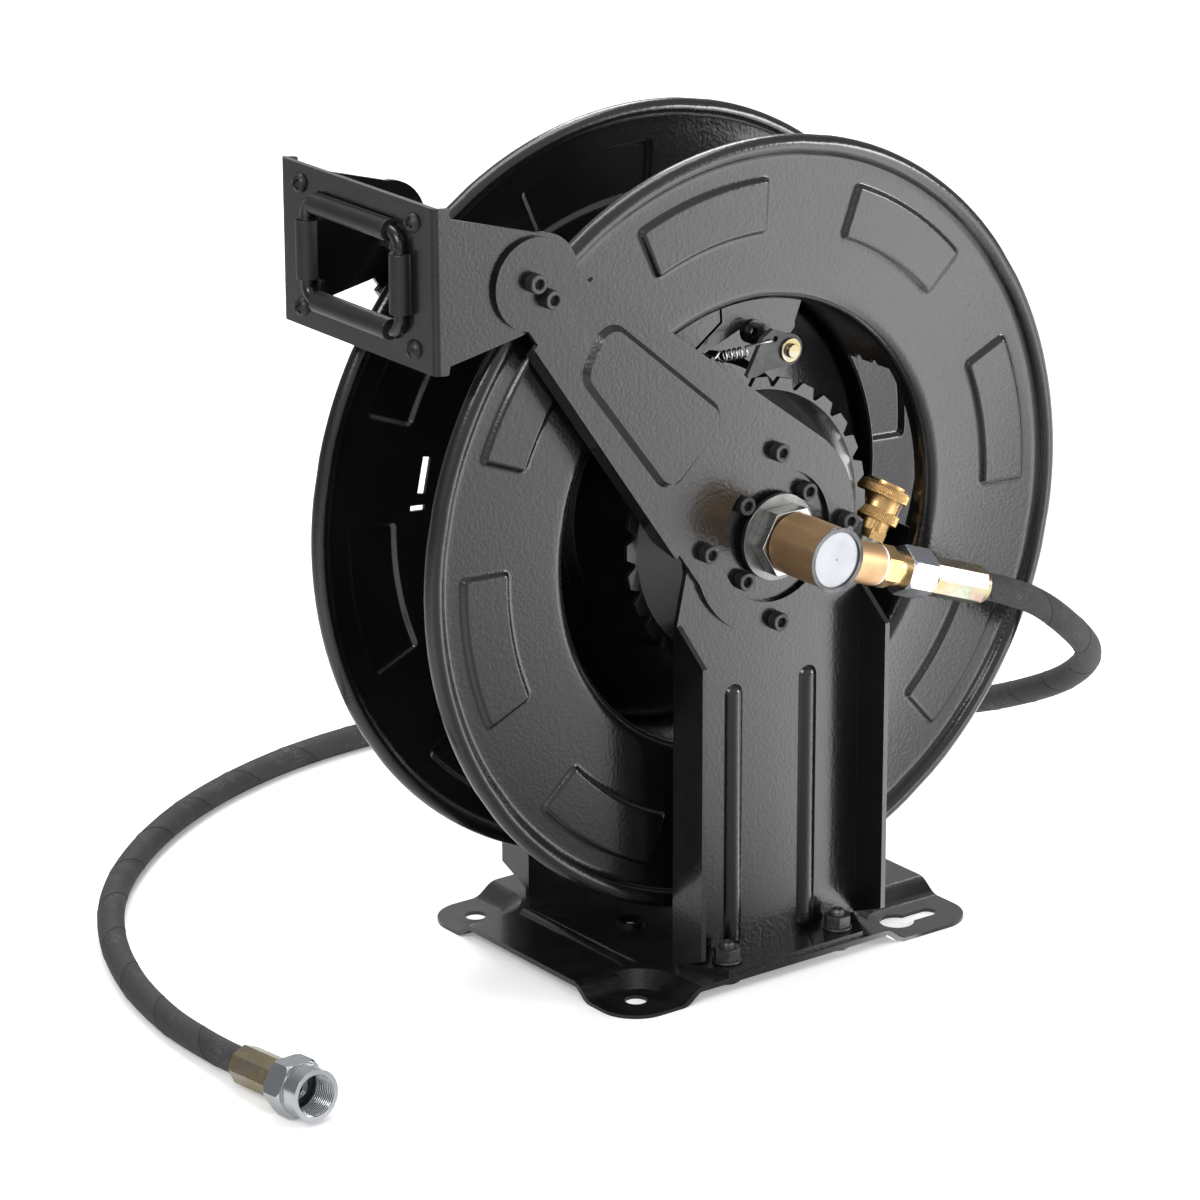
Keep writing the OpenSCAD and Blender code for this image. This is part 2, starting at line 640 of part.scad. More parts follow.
// Drum shaft: hollow, with its stem inside the swivel and a side port for the outlet pipe
outlet_y = 36;
swivel_back = 86;
stem_end = swivel_front - 6;
elbow = [85, -35.5];
elbow_deg = atan2(elbow[1], elbow[0]);
boss_y = web_y - 5;
module drum_shaft() color(steel) at_axle() difference() {
    union() {
        front_rod(shaft_r, -boss_y - 6, swivel_back - 1);
        front_rod(stem_r, swivel_back - 2, stem_end);
        front_rod(shaft_r + 9, -boss_y, -boss_y + 10);
    }
    front_rod(shaft_bore_r, outlet_y - shaft_bore_r - 1.5, stem_end + 1);
    rotate([0, -elbow_deg, 0]) translate([0, -outlet_y, 0]) rotate([0, 90, 0]) cylinder(r = port_bore_r - 1, h = shaft_r + 1);
}
washer_seat = web_out + 3;
washer_end = washer_seat + 3;
module shaft_washer() color(steel) at_axle() difference() {
    front_rod(hub_circle - m6_head_r - 0.8, washer_seat, washer_end);
    front_rod(shaft_r, washer_seat - 1, washer_end + 1);
}
module shaft_nut() color(steel) at_axle() plain_nut(34, shaft_r, washer_end, swivel_back - 1.4);

// Swivel: brass body on the shaft's stem, closed by a cover disc and a ring
cap_seat = swivel_front - 4;
port_turn = atan2(40, 110);
module along_port() at_axle() translate([0, -port_y, 0]) rotate([0, port_turn, 0]) rotate([0, 90, 0]) children();
port_end = 38;
seal_t = 2;
adapter_from = port_end + seal_t;
nut_from = adapter_from + 16;
nut_to = nut_from + 19;
ferrule_to = sqrt(40 * 40 + 110 * 110);
port_bore_r = 5;
module swivel_body() color(brass) difference() {
    union() {
        at_axle() front_rod(swivel_r, swivel_back, swivel_front - 0.6);
        along_port() cylinder(r = port_r, h = port_end);
    }
    at_axle() front_rod(stem_r + run, swivel_back - 1, stem_end + 1.5);
    at_axle() for (y = [92, 98]) front_rod(stem_r + 2, y, y + 2.4);
    at_axle() front_rod(cap_r, cap_seat - 1, swivel_front + 1);
    along_port() cylinder(r = port_bore_r, h = port_end + 1);
}
module swivel_cap() color(steel) at_axle() front_rod(cap_r, cap_seat - 1, swivel_front - 1);
module swivel_circlip() color(black) at_axle() {
    difference() {
        front_rod(swivel_r + 0.6, swivel_front - 0.6, swivel_front);
        front_rod(cap_r - 0.6, swivel_front - 1.6, swivel_front + 1);
    }
    for (a = [62, 100]) rotate([0, -a, 0]) translate([swivel_r + 0.4, 0, 0]) difference() {
        front_rod(2, swivel_front - 0.6, swivel_front);
        front_rod(0.8, swivel_front - 2, swivel_front + 1);
    }
}
module swivel_seals() color(rubber) at_axle() for (y = [93.2, 99.2])
    translate([0, -y, 0]) rotate([90, 0, 0]) rotate_extrude() translate([stem_r + 1.1, 0]) circle(r = 0.8, $fn = 24);

module port_seal() color(white) along_port() translate([0, 0, port_end]) difference() {
    cylinder(r = port_r - 0.4, h = seal_t);
    translate([0, 0, -1]) cylinder(r = port_bore_r, h = seal_t + 2);
}
module inlet_adapter() color(brass) along_port() difference() {
    union() {
        translate([0, 0, adapter_from]) cylinder(r = corner_r(adapter_af), h = 9, $fn = 6);
        translate([0, 0, adapter_from + 8]) cylinder(r = adapter_af / 2 - 0.6, h = 8);
    }
    translate([0, 0, adapter_from - 1]) cylinder(r = port_bore_r, h = 20);
}
module hex_nut(af, len, bore) difference() {
    intersection() {
        cylinder(r = corner_r(af), h = len, $fn = 6);
        union() {
            cylinder(r1 = corner_r(af) - 1.2, r2 = corner_r(af), h = 2, $fn = 48);
            translate([0, 0, 2]) cylinder(r = corner_r(af), h = len - 4, $fn = 48);
            translate([0, 0, len - 2]) cylinder(r1 = corner_r(af), r2 = corner_r(af) - 1.2, h = 2, $fn = 48);
        }
    }
    translate([0, 0, -1]) cylinder(r = bore, h = len + 2);
}
module inlet_nut() color(steel) along_port() translate([0, 0, nut_from]) hex_nut(inlet_af, nut_to - nut_from, port_bore_r);
// Crimped ferrule: a round sleeve pressed to eight flats
module ferrule(len) difference() {
    union() {
        cylinder(r = ferrule_r - 1.2, h = 3);
        translate([0, 0, 2]) cylinder(r = ferrule_r / cos(22.5), h = len - 5, $fn = 8);
        translate([0, 0, len - 4]) cylinder(r = ferrule_r - 0.4, h = 4);
    }
    translate([0, 0, -1]) cylinder(r = port_bore_r, h = len + 2);
}
module inlet_ferrule() color(zinc) along_port() translate([0, 0, nut_to]) ferrule(ferrule_to - nut_to);

// Route of the inlet hose, from the ferrule on the swivel round behind the reel to its free end
hose_route = [[110, -108, 201], [127, -108, 195], [153, -108, 182], [182, -101, 161], [211, -84, 138],
    [234, -56, 115], [250, -20, 92], [263, 23, 70], [275, 72, 48], [285, 124, 28], [284, 175, 14],
    [268, 222, 8], [236, 262, 8], [192, 292, 8], [140, 314, 8], [84, 327, 8], [25, 332, 8],
    [-40, 327, 8], [-100, 310, 8], [-155, 283, 8], [-205, 246, 8], [-246, 203, 8], [-278, 152, 8],
    [-300, 97, 8], [-311, 46, 8], [-315, 1, 9.7], [-316, -36, 12.3]];
hose_sides = 10;
hose_steps = 2;
end_x = -316;
end_y = -36;
end_z = 12.3;
end_pitch = 4;
end_yaw = 2;

function near_end(p, i) = p[max(0, min(len(p) - 1, i))];
function smooth(p, i, t) = let (a = near_end(p, i - 1), b = p[i], c = near_end(p, i + 1), d = near_end(p, i + 2))
    0.5 * (2 * b + (c - a) * t + (2 * a - 5 * b + 4 * c - d) * t * t + (3 * b - 3 * c + d - a) * t * t * t);
function smooth_route(p, n) = concat([for (i = [0:len(p) - 2], k = [0:n - 1]) smooth(p, i, k / n)], [p[len(p) - 1]]);
function unit(v) = v / norm(v);
// Directions at each ring: the ends keep the directions of the fittings
function headings(p, first, last) = [for (i = [0:len(p) - 1])
    i == 0 ? first : i == len(p) - 1 ? last : unit(p[i + 1] - p[i - 1])];
function ring(c, h, up, r, n) = let (s = unit(cross(h, up)), w = cross(s, h))
    [for (k = [0:n - 1]) c + r * (cos(360 * (k + 0.5) / n) * s + sin(360 * (k + 0.5) / n) * w)];
// A tube of n sides through rings at the given centres
module tube(p, first, last, up, r, n) {
    h = headings(p, first, last);
    rings = len(p);
    points = concat([for (i = [0:rings - 1]) each ring(p[i], h[i], up, r, n)], [p[0], p[rings - 1]]);
    polyhedron(points, concat(
        [for (i = [0:rings - 2], k = [0:n - 1]) [i * n + k, i * n + (k + 1) % n, (i + 1) * n + k]],
        [for (i = [0:rings - 2], k = [0:n - 1]) [i * n + (k + 1) % n, (i + 1) * n + (k + 1) % n, (i + 1) * n + k]],
        [for (k = [0:n - 1]) [rings * n, (k + 1) % n, k]],
        [for (k = [0:n - 1]) [rings * n + 1, (rings - 1) * n + k, (rings - 1) * n + (k + 1) % n]]), convexity = 10);
}
module inlet_hose() color(rubber) on_floor() tube(smooth_route(hose_route, hose_steps), unit([110, 0, -40]),
    [sin(end_yaw) * cos(end_pitch), -cos(end_yaw) * cos(end_pitch), sin(end_pitch)],
    [0, 0, 1], hose_r, hose_sides);

// Free end of the hose: ferrule, stem and a nut that turns on the stem
module at_end() on_floor() translate([end_x, end_y, end_z]) rotate([90 - end_pitch, 0, end_yaw]) children();
end_ferrule_len = 37;
end_stem_r = 7;
end_nut_from = end_ferrule_len + 1.5;
end_hex_len = 14;
end_nut_len = 25;
thread_r = end_af / 2 - 3;
thread_len = 16;
module end_ferrule() color(zinc) at_end() ferrule(end_ferrule_len);
module end_stem() color(steel) at_end() difference() {
    union() {
        translate([0, 0, end_ferrule_len]) cylinder(r = end_stem_r, h = 6);
        translate([0, 0, end_ferrule_len + 5.2]) cylinder(r = end_stem_r + 2.5, h = 3);
        translate([0, 0, end_ferrule_len + 8]) cylinder(r1 = end_stem_r + 2.5, r2 = end_stem_r - 0.5, h = 2.3);
    }
    translate([0, 0, end_ferrule_len - 1]) cylinder(r = port_bore_r - 1.5, h = 20);
}
module end_nut() color(steel) at_end() translate([0, 0, end_nut_from]) difference() {
    union() {
        hex_nut(end_af, end_hex_len, end_stem_r + run);
        translate([0, 0, end_hex_len - bite]) cylinder(r = end_af / 2 - 0.5, h = end_nut_len - end_hex_len + bite);
    }
    translate([0, 0, 3]) cylinder(r = thread_r + 0.6, h = end_nut_len - thread_len - 3);
    translate([0, 0, end_nut_len - thread_len]) cylinder(r = thread_r, h = thread_len + 1);
}

// Side disc: flat sheet with a rolled bead, a rounded lip at its opening and pads pressed outwards
module disc_section() {
    flat_in = hole_r + lip_r;
    translate([flat_in, disc_in]) square([disc_r - bead_r - flat_in, disc_t]);
    translate([disc_r - bead_r, disc_in + disc_t]) circle(bead_r);
    translate([flat_in, disc_out - lip_r]) intersection() {
        difference() {
            circle(lip_r);
            circle(lip_r - disc_t);
        }
        translate([-lip_r, 0]) square([lip_r, lip_r]);
    }
    translate([hole_r, disc_out - lip_r - 4]) square([disc_t, 4]);
}
// A pad's wall turned through its angle: the press leaves a hollow of the same shape inside
module pad(low, deg) rotate([0, 0, -deg / 2]) rotate_extrude(angle = deg)
    polygon([[pad_in_r, low], [pad_in_r + 3, low + pad_h], [pad_out_r - 3, low + pad_h], [pad_out_r, low]]);
module pads(low, deg) for (i = [0:pad_count - 1]) rotate([0, 0, pad_first + i * 360 / pad_count]) pad(low, deg);
module disc_solid() difference() {
    union() {
        rotate_extrude() disc_section();
        pads(disc_out - 0.05, pad_deg);
    }
    pads(disc_in - 0.05, pad_deg - 1.4);
}
// The disc is drawn flat; the front one faces away from the drum towards the swivel
module front_disc() color(black) at_axle() rotate([90, 0, 0]) disc_solid();
slot_r = 141;
module rear_disc() color(black) at_axle() difference() {
    mirror([0, 1, 0]) rotate([90, 0, 0]) disc_solid();
    rotate([0, -175, 0]) translate([slot_r, disc_in - 5, -1.5]) cube([9, 12, 3]);
    rotate([0, -168, 0]) translate([slot_r, disc_in - 5, -10]) cube([5, 12, 20]);
}

module drum_barrel() color(black) at_axle() difference() {
    rotate([90, 0, 0]) difference() {
        cylinder(r = barrel_out, h = 2 * barrel_end, center = true);
        cylinder(r = barrel_in, h = 2 * barrel_end + 2, center = true);
    }
    rotate([90, 0, 0]) rotate([0, 0, window_from]) rotate_extrude(angle = window_deg)
        translate([barrel_in - 2, 0]) square([barrel_t + 4, window_w]);
    for (y = [-10, -23]) rotate([0, -window_from - window_deg, 0]) translate([barrel_in - 2, y - 2, -1])
        cube([barrel_t + 4, 4, 4]);
}

// Web across the drum, with a raised boss towards the front and a rim along the barrel
web_corner = 6;
module drum_web() color(black) at_axle() turned() {
    translate([boss_r + 4, web_y]) square([barrel_in - web_corner - boss_r - 4, barrel_t]);
    polygon([[shaft_r, boss_y], [boss_r, boss_y], [boss_r + 5, web_y], [boss_r + 5, web_y + barrel_t],
        [boss_r - 1, boss_y + barrel_t], [shaft_r, boss_y + barrel_t]]);
    translate([barrel_in - web_corner, web_y + web_corner]) intersection() {
        difference() {
            circle(web_corner);
            circle(web_corner - barrel_t);
        }
        translate([0, -web_corner]) square(web_corner);
    }
    translate([barrel_in - barrel_t, web_y + web_corner]) square([barrel_t, 12]);
}

// Spring case behind the web, closed by a cover that runs on the rear axle through a bush
case_from = web_y + barrel_t;
case_to = disc_in - 4;
case_t = 1.6;
module spring_case() color(black) at_axle() turned() {
    translate([0, case_from]) square([case_r, case_t]);
    translate([case_r - case_t, case_from]) square([case_t, case_to - case_t - case_from]);
}
bush_r = shaft_r + 4;
module spring_cover() color(black) at_axle() turned() translate([bush_r, case_to - case_t]) square([case_r - bush_r, case_t]);
module rear_bush() color(brass) at_axle() turned() {
    translate([shaft_r + run, case_to - 10]) square([bush_r - shaft_r - run, 10]);
    translate([shaft_r + run, case_to - case_t - 3]) square([bush_r + 4 - shaft_r, 3]);
}
// Flat spiral from the rear axle out to the wall of the case
spiral_in = shaft_r + 5.5;
spiral_out = case_r - case_t - spring_t;
spiral_steps = 24 * spring_turns;
function spiral(r_add) = [for (i = [0:spiral_steps]) let (r = spiral_in + (spiral_out - spiral_in) * i / spiral_steps + r_add)
    [r * cos(15 * i), r * sin(15 * i)]];
module power_spring() color(steel) at_axle() rotate([-90, 0, 0]) translate([0, 0, case_from + case_t + 1])
    linear_extrude(case_to - case_from - 2 * case_t - 5)
        polygon(concat(spiral(0), [for (i = [spiral_steps:-1:0]) spiral(spring_t)[i]]));

// Outlet: pipe from the shaft to an elbow, and the coupler that stands on it
module along_outlet() at_axle() rotate([0, -elbow_deg, 0]) translate([0, -outlet_y, 0]) rotate([0, 90, 0]) children();
elbow_at = norm(elbow);
elbow_r = 9.5;
coupler_from = elbow_r + 0.1;
module outlet_pipe() color(steel) difference() {
    union() {
        along_outlet() translate([0, 0, shaft_r - 0.3]) cylinder(r = 6.5, h = elbow_at - shaft_r);
        along_outlet() translate([0, 0, elbow_at]) sphere(elbow_r);
        along_outlet() translate([0, 0, 50]) cylinder(r = corner_r(16), h = 14, $fn = 6);
        at_coupler() cylinder(r = elbow_r - 1, h = coupler_from);
    }
    at_axle() front_rod(shaft_r, outlet_y - 15, outlet_y + 15);
    along_outlet() cylinder(r = port_bore_r - 1, h = elbow_at);
    along_outlet() translate([0, 0, elbow_at]) sphere(port_bore_r - 0.6);
    at_coupler() cylinder(r = port_bore_r - 1, h = 20);
}
module at_coupler() at_axle() translate([elbow[0], -outlet_y, elbow[1]]) rotate([0, coupler_tilt, 0]) children();
coupler_len = 41;
sleeve_from = 20;
sleeve_to = 39;
module coupler_body() color(brass) at_coupler() difference() {
    union() {
        translate([0, 0, coupler_from]) cylinder(r = corner_r(19), h = 15 - coupler_from, $fn = 6);
        translate([0, 0, 14]) cylinder(r = core_r, h = coupler_len - 14);
        translate([0, 0, sleeve_to + 0.4]) cylinder(r = core_r + 1, h = coupler_len - sleeve_to - 0.4);
    }
    translate([0, 0, 9]) cylinder(r = port_bore_r - 1, h = 10);
    translate([0, 0, 18]) cylinder(r = 7, h = coupler_len);
}
module coupler_sleeve() color(brass) at_coupler() difference() {
    union() {
        translate([0, 0, sleeve_from]) cylinder(r = band_r - 0.8, h = 6);
        translate([0, 0, sleeve_from]) cylinder(r = band_r - 3, h = sleeve_to - sleeve_from);
        translate([0, 0, sleeve_to - 6]) cylinder(r = band_r, h = 6);
    }
    translate([0, 0, sleeve_from - 1]) cylinder(r = core_r + run, h = sleeve_to - sleeve_from + 2);
}

// Pawl and its bracket, on the inside of the barrel above the ratchet wheel
pawl_near = tooth_in + 0.5;
pawl_far = pawl_near + sheet;
bracket_near = 31;
bracket_far = bracket_near + barrel_t;
bracket_from = 67.5;
bracket_deg = 26;
anchor = [-26, 96];
hook_hole = [-9.5, 7.5];
module pawl_bracket() color(black) at_axle() difference() {
    union() {
        rotate([90, 0, 0]) translate([0, 0, bracket_near]) {
            rotate([0, 0, bracket_from]) rotate_extrude(angle = bracket_deg) translate([104, 0]) square([barrel_in - 104, barrel_t]);
            linear_extrude(barrel_t) {
                polygon([[pawl_x - 9, pawl_z], [pawl_x + 9, pawl_z], [42, 98], [42, 106], [pawl_x - 26, 107]]);
                translate([pawl_x, pawl_z]) circle(9);
                polygon([[anchor[0] - 4, anchor[1] - 4], [anchor[0] + 3, anchor[1] - 4], [8, 104], [-6, 109]]);
            }
        }
        translate([13, 0, 100.5]) front_rod(6.5, bracket_near, bracket_far + 2);
        translate([anchor[0] - 1, 0, anchor[1]]) front_rod(1.6, bracket_near, pawl_far + 3.2);
    }
    translate([pawl_x, 0, pawl_z]) front_rod(pawl_pin_r, bracket_near - 1, bracket_far + 1);
    translate([13, 0, 100.5]) front_rod(2.2, bracket_near - 1, bracket_far + 3);
}
// The tip of the pawl rides on the tips of the teeth
tip_z0 = tooth_tip_r + 0.4;
module pawl() color(black) at_axle() difference() {
    front_sheet(pawl_near, pawl_far) {
        polygon([[pawl_x - 18, pawl_z + 9], [-1.5, tip_z0 + 1.5], [0, tip_z0], [5.5, tip_z0 + 0.3],
            [11.5, tip_z0 + 2.2], [pawl_x, pawl_z - 8.5], [pawl_x, pawl_z + 8.5], [pawl_x - 11, pawl_z + 13]]);
        translate([pawl_x, pawl_z]) circle(8.5);
    }
    translate([pawl_x, 0, pawl_z]) front_rod(pawl_pin_r + run, pawl_near - 1, pawl_far + 1);
    translate([pawl_x + hook_hole[0], 0, pawl_z + hook_hole[1]]) front_rod(1.6, pawl_near - 1, pawl_far + 1);
}
module pawl_pin() color(steel) at_axle() translate([pawl_x, 0, pawl_z]) {
    front_rod(pawl_pin_r, bracket_near - 2, pawl_far + 4);
    front_rod(6.5, bracket_far, pawl_near - 0.2);
    front_rod(6.5, pawl_far + 0.2, pawl_far + 1.6);
}

// Pawl spring: open coils between two straight ends, from the bracket's anchor to the pawl's hook hole
wire_r = 0.6;
coil_r = 2.7;
curls = 5;
curl_rings = 8;
coil_pitch = 3.4;
coil_from = anchor[0] + 5;
spring_y = -(pawl_far + wire_r + 0.4);
spring_z = anchor[1];
hook_at = [pawl_x + hook_hole[0], spring_y, pawl_z + hook_hole[1]];
spring_path = concat(
    [[anchor[0] + 0.8, spring_y, spring_z], [anchor[0] + 2.4, spring_y, spring_z]],
    [for (i = [0:curls * curl_rings]) [coil_from + coil_pitch * i / curl_rings,
        spring_y + coil_r * sin(360 * i / curl_rings), spring_z + coil_r * cos(360 * i / curl_rings)]],
    [[hook_at[0] - 4.6, spring_y, hook_at[2] - 0.3], [hook_at[0] - 2.8, spring_y, hook_at[2]]]);
// Least gap between curls: rings at least half a curl apart along the wire
spring_gap = min([for (i = [0:len(spring_path) - 1], j = [i + curl_rings / 2:1:len(spring_path) - 1])
    norm(spring_path[i] - spring_path[j])]) - 2 * wire_r;
module pawl_spring() color(steel) at_axle()
    tube(spring_path, [1, 0, 0], [1, 0, 0], [0, 0.3, 1], wire_r, 6);
echo(pawl_spring_least_gap = spring_gap);

base_plate();
front_post();
rear_post();
front_arm();
rear_arm();
guide_bracket();
roller_pins();
roller_top();
roller_bottom();
roller_front();
roller_rear();
guide_screws();
guide_nuts();
arm_screws();
arm_nuts();
tip_screws();
tip_nuts();
hub_screws();
foot_bolts();
foot_washers();
foot_nuts();
ratchet_wheel();
bearing_housing();
front_bearing();
rear_hub();
rear_axle();
rear_axle_nut();
swivel_body();
swivel_cap();
swivel_circlip();
swivel_seals();
port_seal();
inlet_adapter();
inlet_nut();
inlet_ferrule();
inlet_hose();
end_ferrule();
end_stem();
end_nut();
front_disc();
rear_disc();
drum_barrel();
drum_web();
drum_shaft();
shaft_washer();
shaft_nut();
spring_case();
spring_cover();
power_spring();
rear_bush();
outlet_pipe();
coupler_body();
coupler_sleeve();
pawl_bracket();
pawl();
pawl_pin();
pawl_spring();
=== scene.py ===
"""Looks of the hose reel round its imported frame. Sizes are in metres unless a name says mm."""
import json
import math

import bmesh
import bpy
import numpy as np
from mathutils import Matrix, Vector


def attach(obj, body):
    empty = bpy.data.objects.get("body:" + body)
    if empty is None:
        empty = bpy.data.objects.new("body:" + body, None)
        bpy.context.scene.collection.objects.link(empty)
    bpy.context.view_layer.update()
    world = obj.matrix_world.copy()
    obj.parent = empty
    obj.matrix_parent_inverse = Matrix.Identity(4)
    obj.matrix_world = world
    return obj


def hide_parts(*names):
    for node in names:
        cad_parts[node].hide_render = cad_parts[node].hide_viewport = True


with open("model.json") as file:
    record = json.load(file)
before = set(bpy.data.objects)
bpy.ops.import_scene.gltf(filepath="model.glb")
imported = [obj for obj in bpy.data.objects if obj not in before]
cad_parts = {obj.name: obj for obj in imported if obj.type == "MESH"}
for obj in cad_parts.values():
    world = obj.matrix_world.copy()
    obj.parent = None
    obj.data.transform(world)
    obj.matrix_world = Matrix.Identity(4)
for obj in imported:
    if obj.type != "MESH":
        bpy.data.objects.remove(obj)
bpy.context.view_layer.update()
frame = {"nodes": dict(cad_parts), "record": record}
NODES = frame["nodes"]
BODY_OF = {node: body for body, members in frame["record"]["behaviour"]["bodies"].items() for node in members}
SLOT_OF = {row["node"]: row["material_slot"] for row in frame["record"]["subparts"]}
AXLE = Vector((0.0058, 0.014, 0.241))


def local(x, y, z):
    """A point given in millimetres from the middle of the axle, as a point of the frame."""
    return AXLE + Vector((x, y, z)) * 0.001


def floor_point(x, y, z):
    """A point given in millimetres from the axle's foot on the floor."""
    return Vector((AXLE.x + x * 0.001, AXLE.y + y * 0.001, z * 0.001))


def add(name, data):
    """A new object in the scene."""
    made = bpy.data.objects.new(name, data)
    bpy.context.scene.collection.objects.link(made)
    return made


# ---------------------------------------------------------------- camera and lamps
SENSOR_MM, LENS_MM = 36.0, 151.745
CLIP = (0.05, 60.0)
CAMERA_PLACE = Vector((-1.57600, -2.01782, 1.06969))
CAMERA_RIGHT = Vector((0.80037, -0.59950, -0.00200))
CAMERA_BACK = Vector((-0.56652, -0.75742, 0.32460))
LAMP_AIM = (0, 0, 0.2)
LAMPS = [  # name, place, aim, size, power in watts
    ("key_softbox", (-2.6, -1.6, 2.6), LAMP_AIM, (1.6, 1.2), 60),
    ("side_softbox", (2.25, -1.95, 0.8), (0, 0, 0.25), (0.9, 0.8), 36),
    ("rear_softbox", (1.35, 1.7, 2.3), LAMP_AIM, (1.2, 1.0), 34),
    ("top_softbox", (0.2, 0.6, 3.0), LAMP_AIM, (2.4, 1.6), 50),
]


def set_camera():
    data = bpy.data.cameras.new("camera")
    data.sensor_width = SENSOR_MM
    data.lens = LENS_MM
    data.clip_start, data.clip_end = CLIP
    camera = add("camera", data)
    right, back = CAMERA_RIGHT.normalized(), CAMERA_BACK.normalized()
    up = back.cross(right).normalized()
    turn = Matrix((right, up, back)).transposed().to_4x4()
    camera.matrix_world = Matrix.Translation(CAMERA_PLACE) @ turn
    bpy.context.scene.camera = camera


def area_light(name, place, aim, size, power):
    """A rectangular lamp that shines towards the aim."""
    data = bpy.data.lights.new(name, "AREA")
    data.shape = "RECTANGLE"
    data.size, data.size_y = size
    data.energy = power
    lamp = add(name, data)
    lamp.location = place
    lamp.rotation_euler = (Vector(aim) - Vector(place)).to_track_quat("-Z", "Y").to_euler()


set_camera()


# ---------------------------------------------------------------- node groups and materials
class Tree:
    """Short words for building a node tree."""

    def __init__(self, tree):
        self.tree = tree

    def node(self, kind, **settings):
        made = self.tree.nodes.new(kind)
        for key, value in settings.items():
            setattr(made, key, value)
        return made

    def link(self, source, target):
        self.tree.links.new(source, target)

    def feed(self, target, value):
        """Gives a socket a value, or joins it to another socket."""
        if isinstance(value, bpy.types.NodeSocket):
            self.link(value, target)
        else:
            target.default_value = value

    def math(self, operation, first, second=0.0, clamp=False):
        made = self.node("ShaderNodeMath", operation=operation, use_clamp=clamp)
        self.feed(made.inputs[0], first)
        self.feed(made.inputs[1], second)
        return made.outputs[0]

    def times(self, first, second):
        return self.math("MULTIPLY", first, second)

    def vector(self, operation, first, second=(0, 0, 0)):
        made = self.node("ShaderNodeVectorMath", operation=operation)
        self.link(first, made.inputs[0])
        made.inputs[1].default_value = second
        return made.outputs

    def aimed(self, source, direction):
        """How far a direction, or a place on the floor, points to one side."""
        return self.vector("DOT_PRODUCT", source, direction)["Value"]

    def place(self):
        return self.node("ShaderNodeTexCoord").outputs["Object"]

    def noise(self, vector, scale, detail=3.0, rough=0.5):
        made = self.node("ShaderNodeTexNoise")
        self.feed(made.inputs["Vector"], vector)
        self.feed(made.inputs["Scale"], scale)
        self.feed(made.inputs["Detail"], detail)
        self.feed(made.inputs["Roughness"], rough)
        return made.outputs["Fac"]

    def ramp(self, value, low, high, to_low=0.0, to_high=1.0):
        made = self.node("ShaderNodeMapRange")
        values = (value, low, high, to_low, to_high)
        for place, item in zip(("Value", "From Min", "From Max", "To Min", "To Max"), values):
            self.feed(made.inputs[place], item)
        return made.outputs["Result"]

    def blend(self, mask, first, second):
        made = self.node("ShaderNodeMix", data_type="RGBA")
        self.feed(made.inputs[0], mask)
        self.feed(made.inputs[6], first)
        self.feed(made.inputs[7], second)
        return made.outputs[2]

    def bump(self, height, strength, distance):
        made = self.node("ShaderNodeBump")
        self.feed(made.inputs["Strength"], strength)
        self.feed(made.inputs["Distance"], distance)
        self.feed(made.inputs["Height"], height)
        return made.outputs["Normal"]


def group(name, inputs, outputs):
    """A shader node group with named sockets: each input is (name, kind, value), each output (name, kind)."""
    tree = bpy.data.node_groups.new(name, "ShaderNodeTree")
    for title, kind, value in inputs:
        socket = tree.interface.new_socket(title, in_out="INPUT", socket_type="NodeSocket" + kind)
        socket.default_value = value
    for title, kind in outputs:
        tree.interface.new_socket(title, in_out="OUTPUT", socket_type="NodeSocket" + kind)
    words = Tree(tree)
    return words, words.node("NodeGroupInput").outputs, words.node("NodeGroupOutput").inputs


def orange_peel_group():
    """The gentle waves of a powder coat, with a few grains of dust under it."""
    t, given, out = group("orange_peel", [("Wave Scale", "Float", 300.0), ("Wave", "Float", 0.3),
                                          ("Speck Scale", "Float", 420.0), ("Speck", "Float", 0.2)],
                          [("Normal", "Vector")])
    place = t.place()
    wave = t.noise(place, given["Wave Scale"], 2.0, 0.45)
    cells = t.node("ShaderNodeTexVoronoi", feature="F1")
    t.link(place, cells.inputs["Vector"])
    t.link(given["Speck Scale"], cells.inputs["Scale"])
    patches = t.ramp(t.noise(place, 26.0, 1.0), 0.55, 0.7)
    grain = t.times(t.ramp(cells.outputs["Distance"], 0.0, 0.16, 1.0, 0.0), patches)
    height = t.math("ADD", t.times(wave, given["Wave"]), t.times(grain, given["Speck"]))
    t.link(t.bump(height, 0.5, 0.0004), out["Normal"])
    return t.tree


def film_group():
    """A thin, uneven film: where it gathers, the surface is duller and a little paler."""
    t, given, out = group("handled_film",
                          [("Scale", "Float", 14.0), ("Smooth", "Float", 0.3), ("Dull", "Float", 0.5),
                           ("Clean Colour", "Color", (0, 0, 0, 1)), ("Dusty Colour", "Color", (0.1, 0.1, 0.1, 1))],
                          [("Color", "Color"), ("Roughness", "Float")])
    place = t.place()
    wide = t.noise(place, given["Scale"], 4.0, 0.6)
    fine = t.noise(place, t.times(given["Scale"], 14.0), 3.0, 0.6)
    mask = t.times(t.ramp(wide, 0.35, 0.75), t.ramp(fine, 0.3, 0.8, 0.5, 1.0))
    t.link(t.blend(mask, given["Clean Colour"], given["Dusty Colour"]), out["Color"])
    t.link(t.ramp(mask, 0.0, 1.0, given["Smooth"], given["Dull"]), out["Roughness"])
    return t.tree


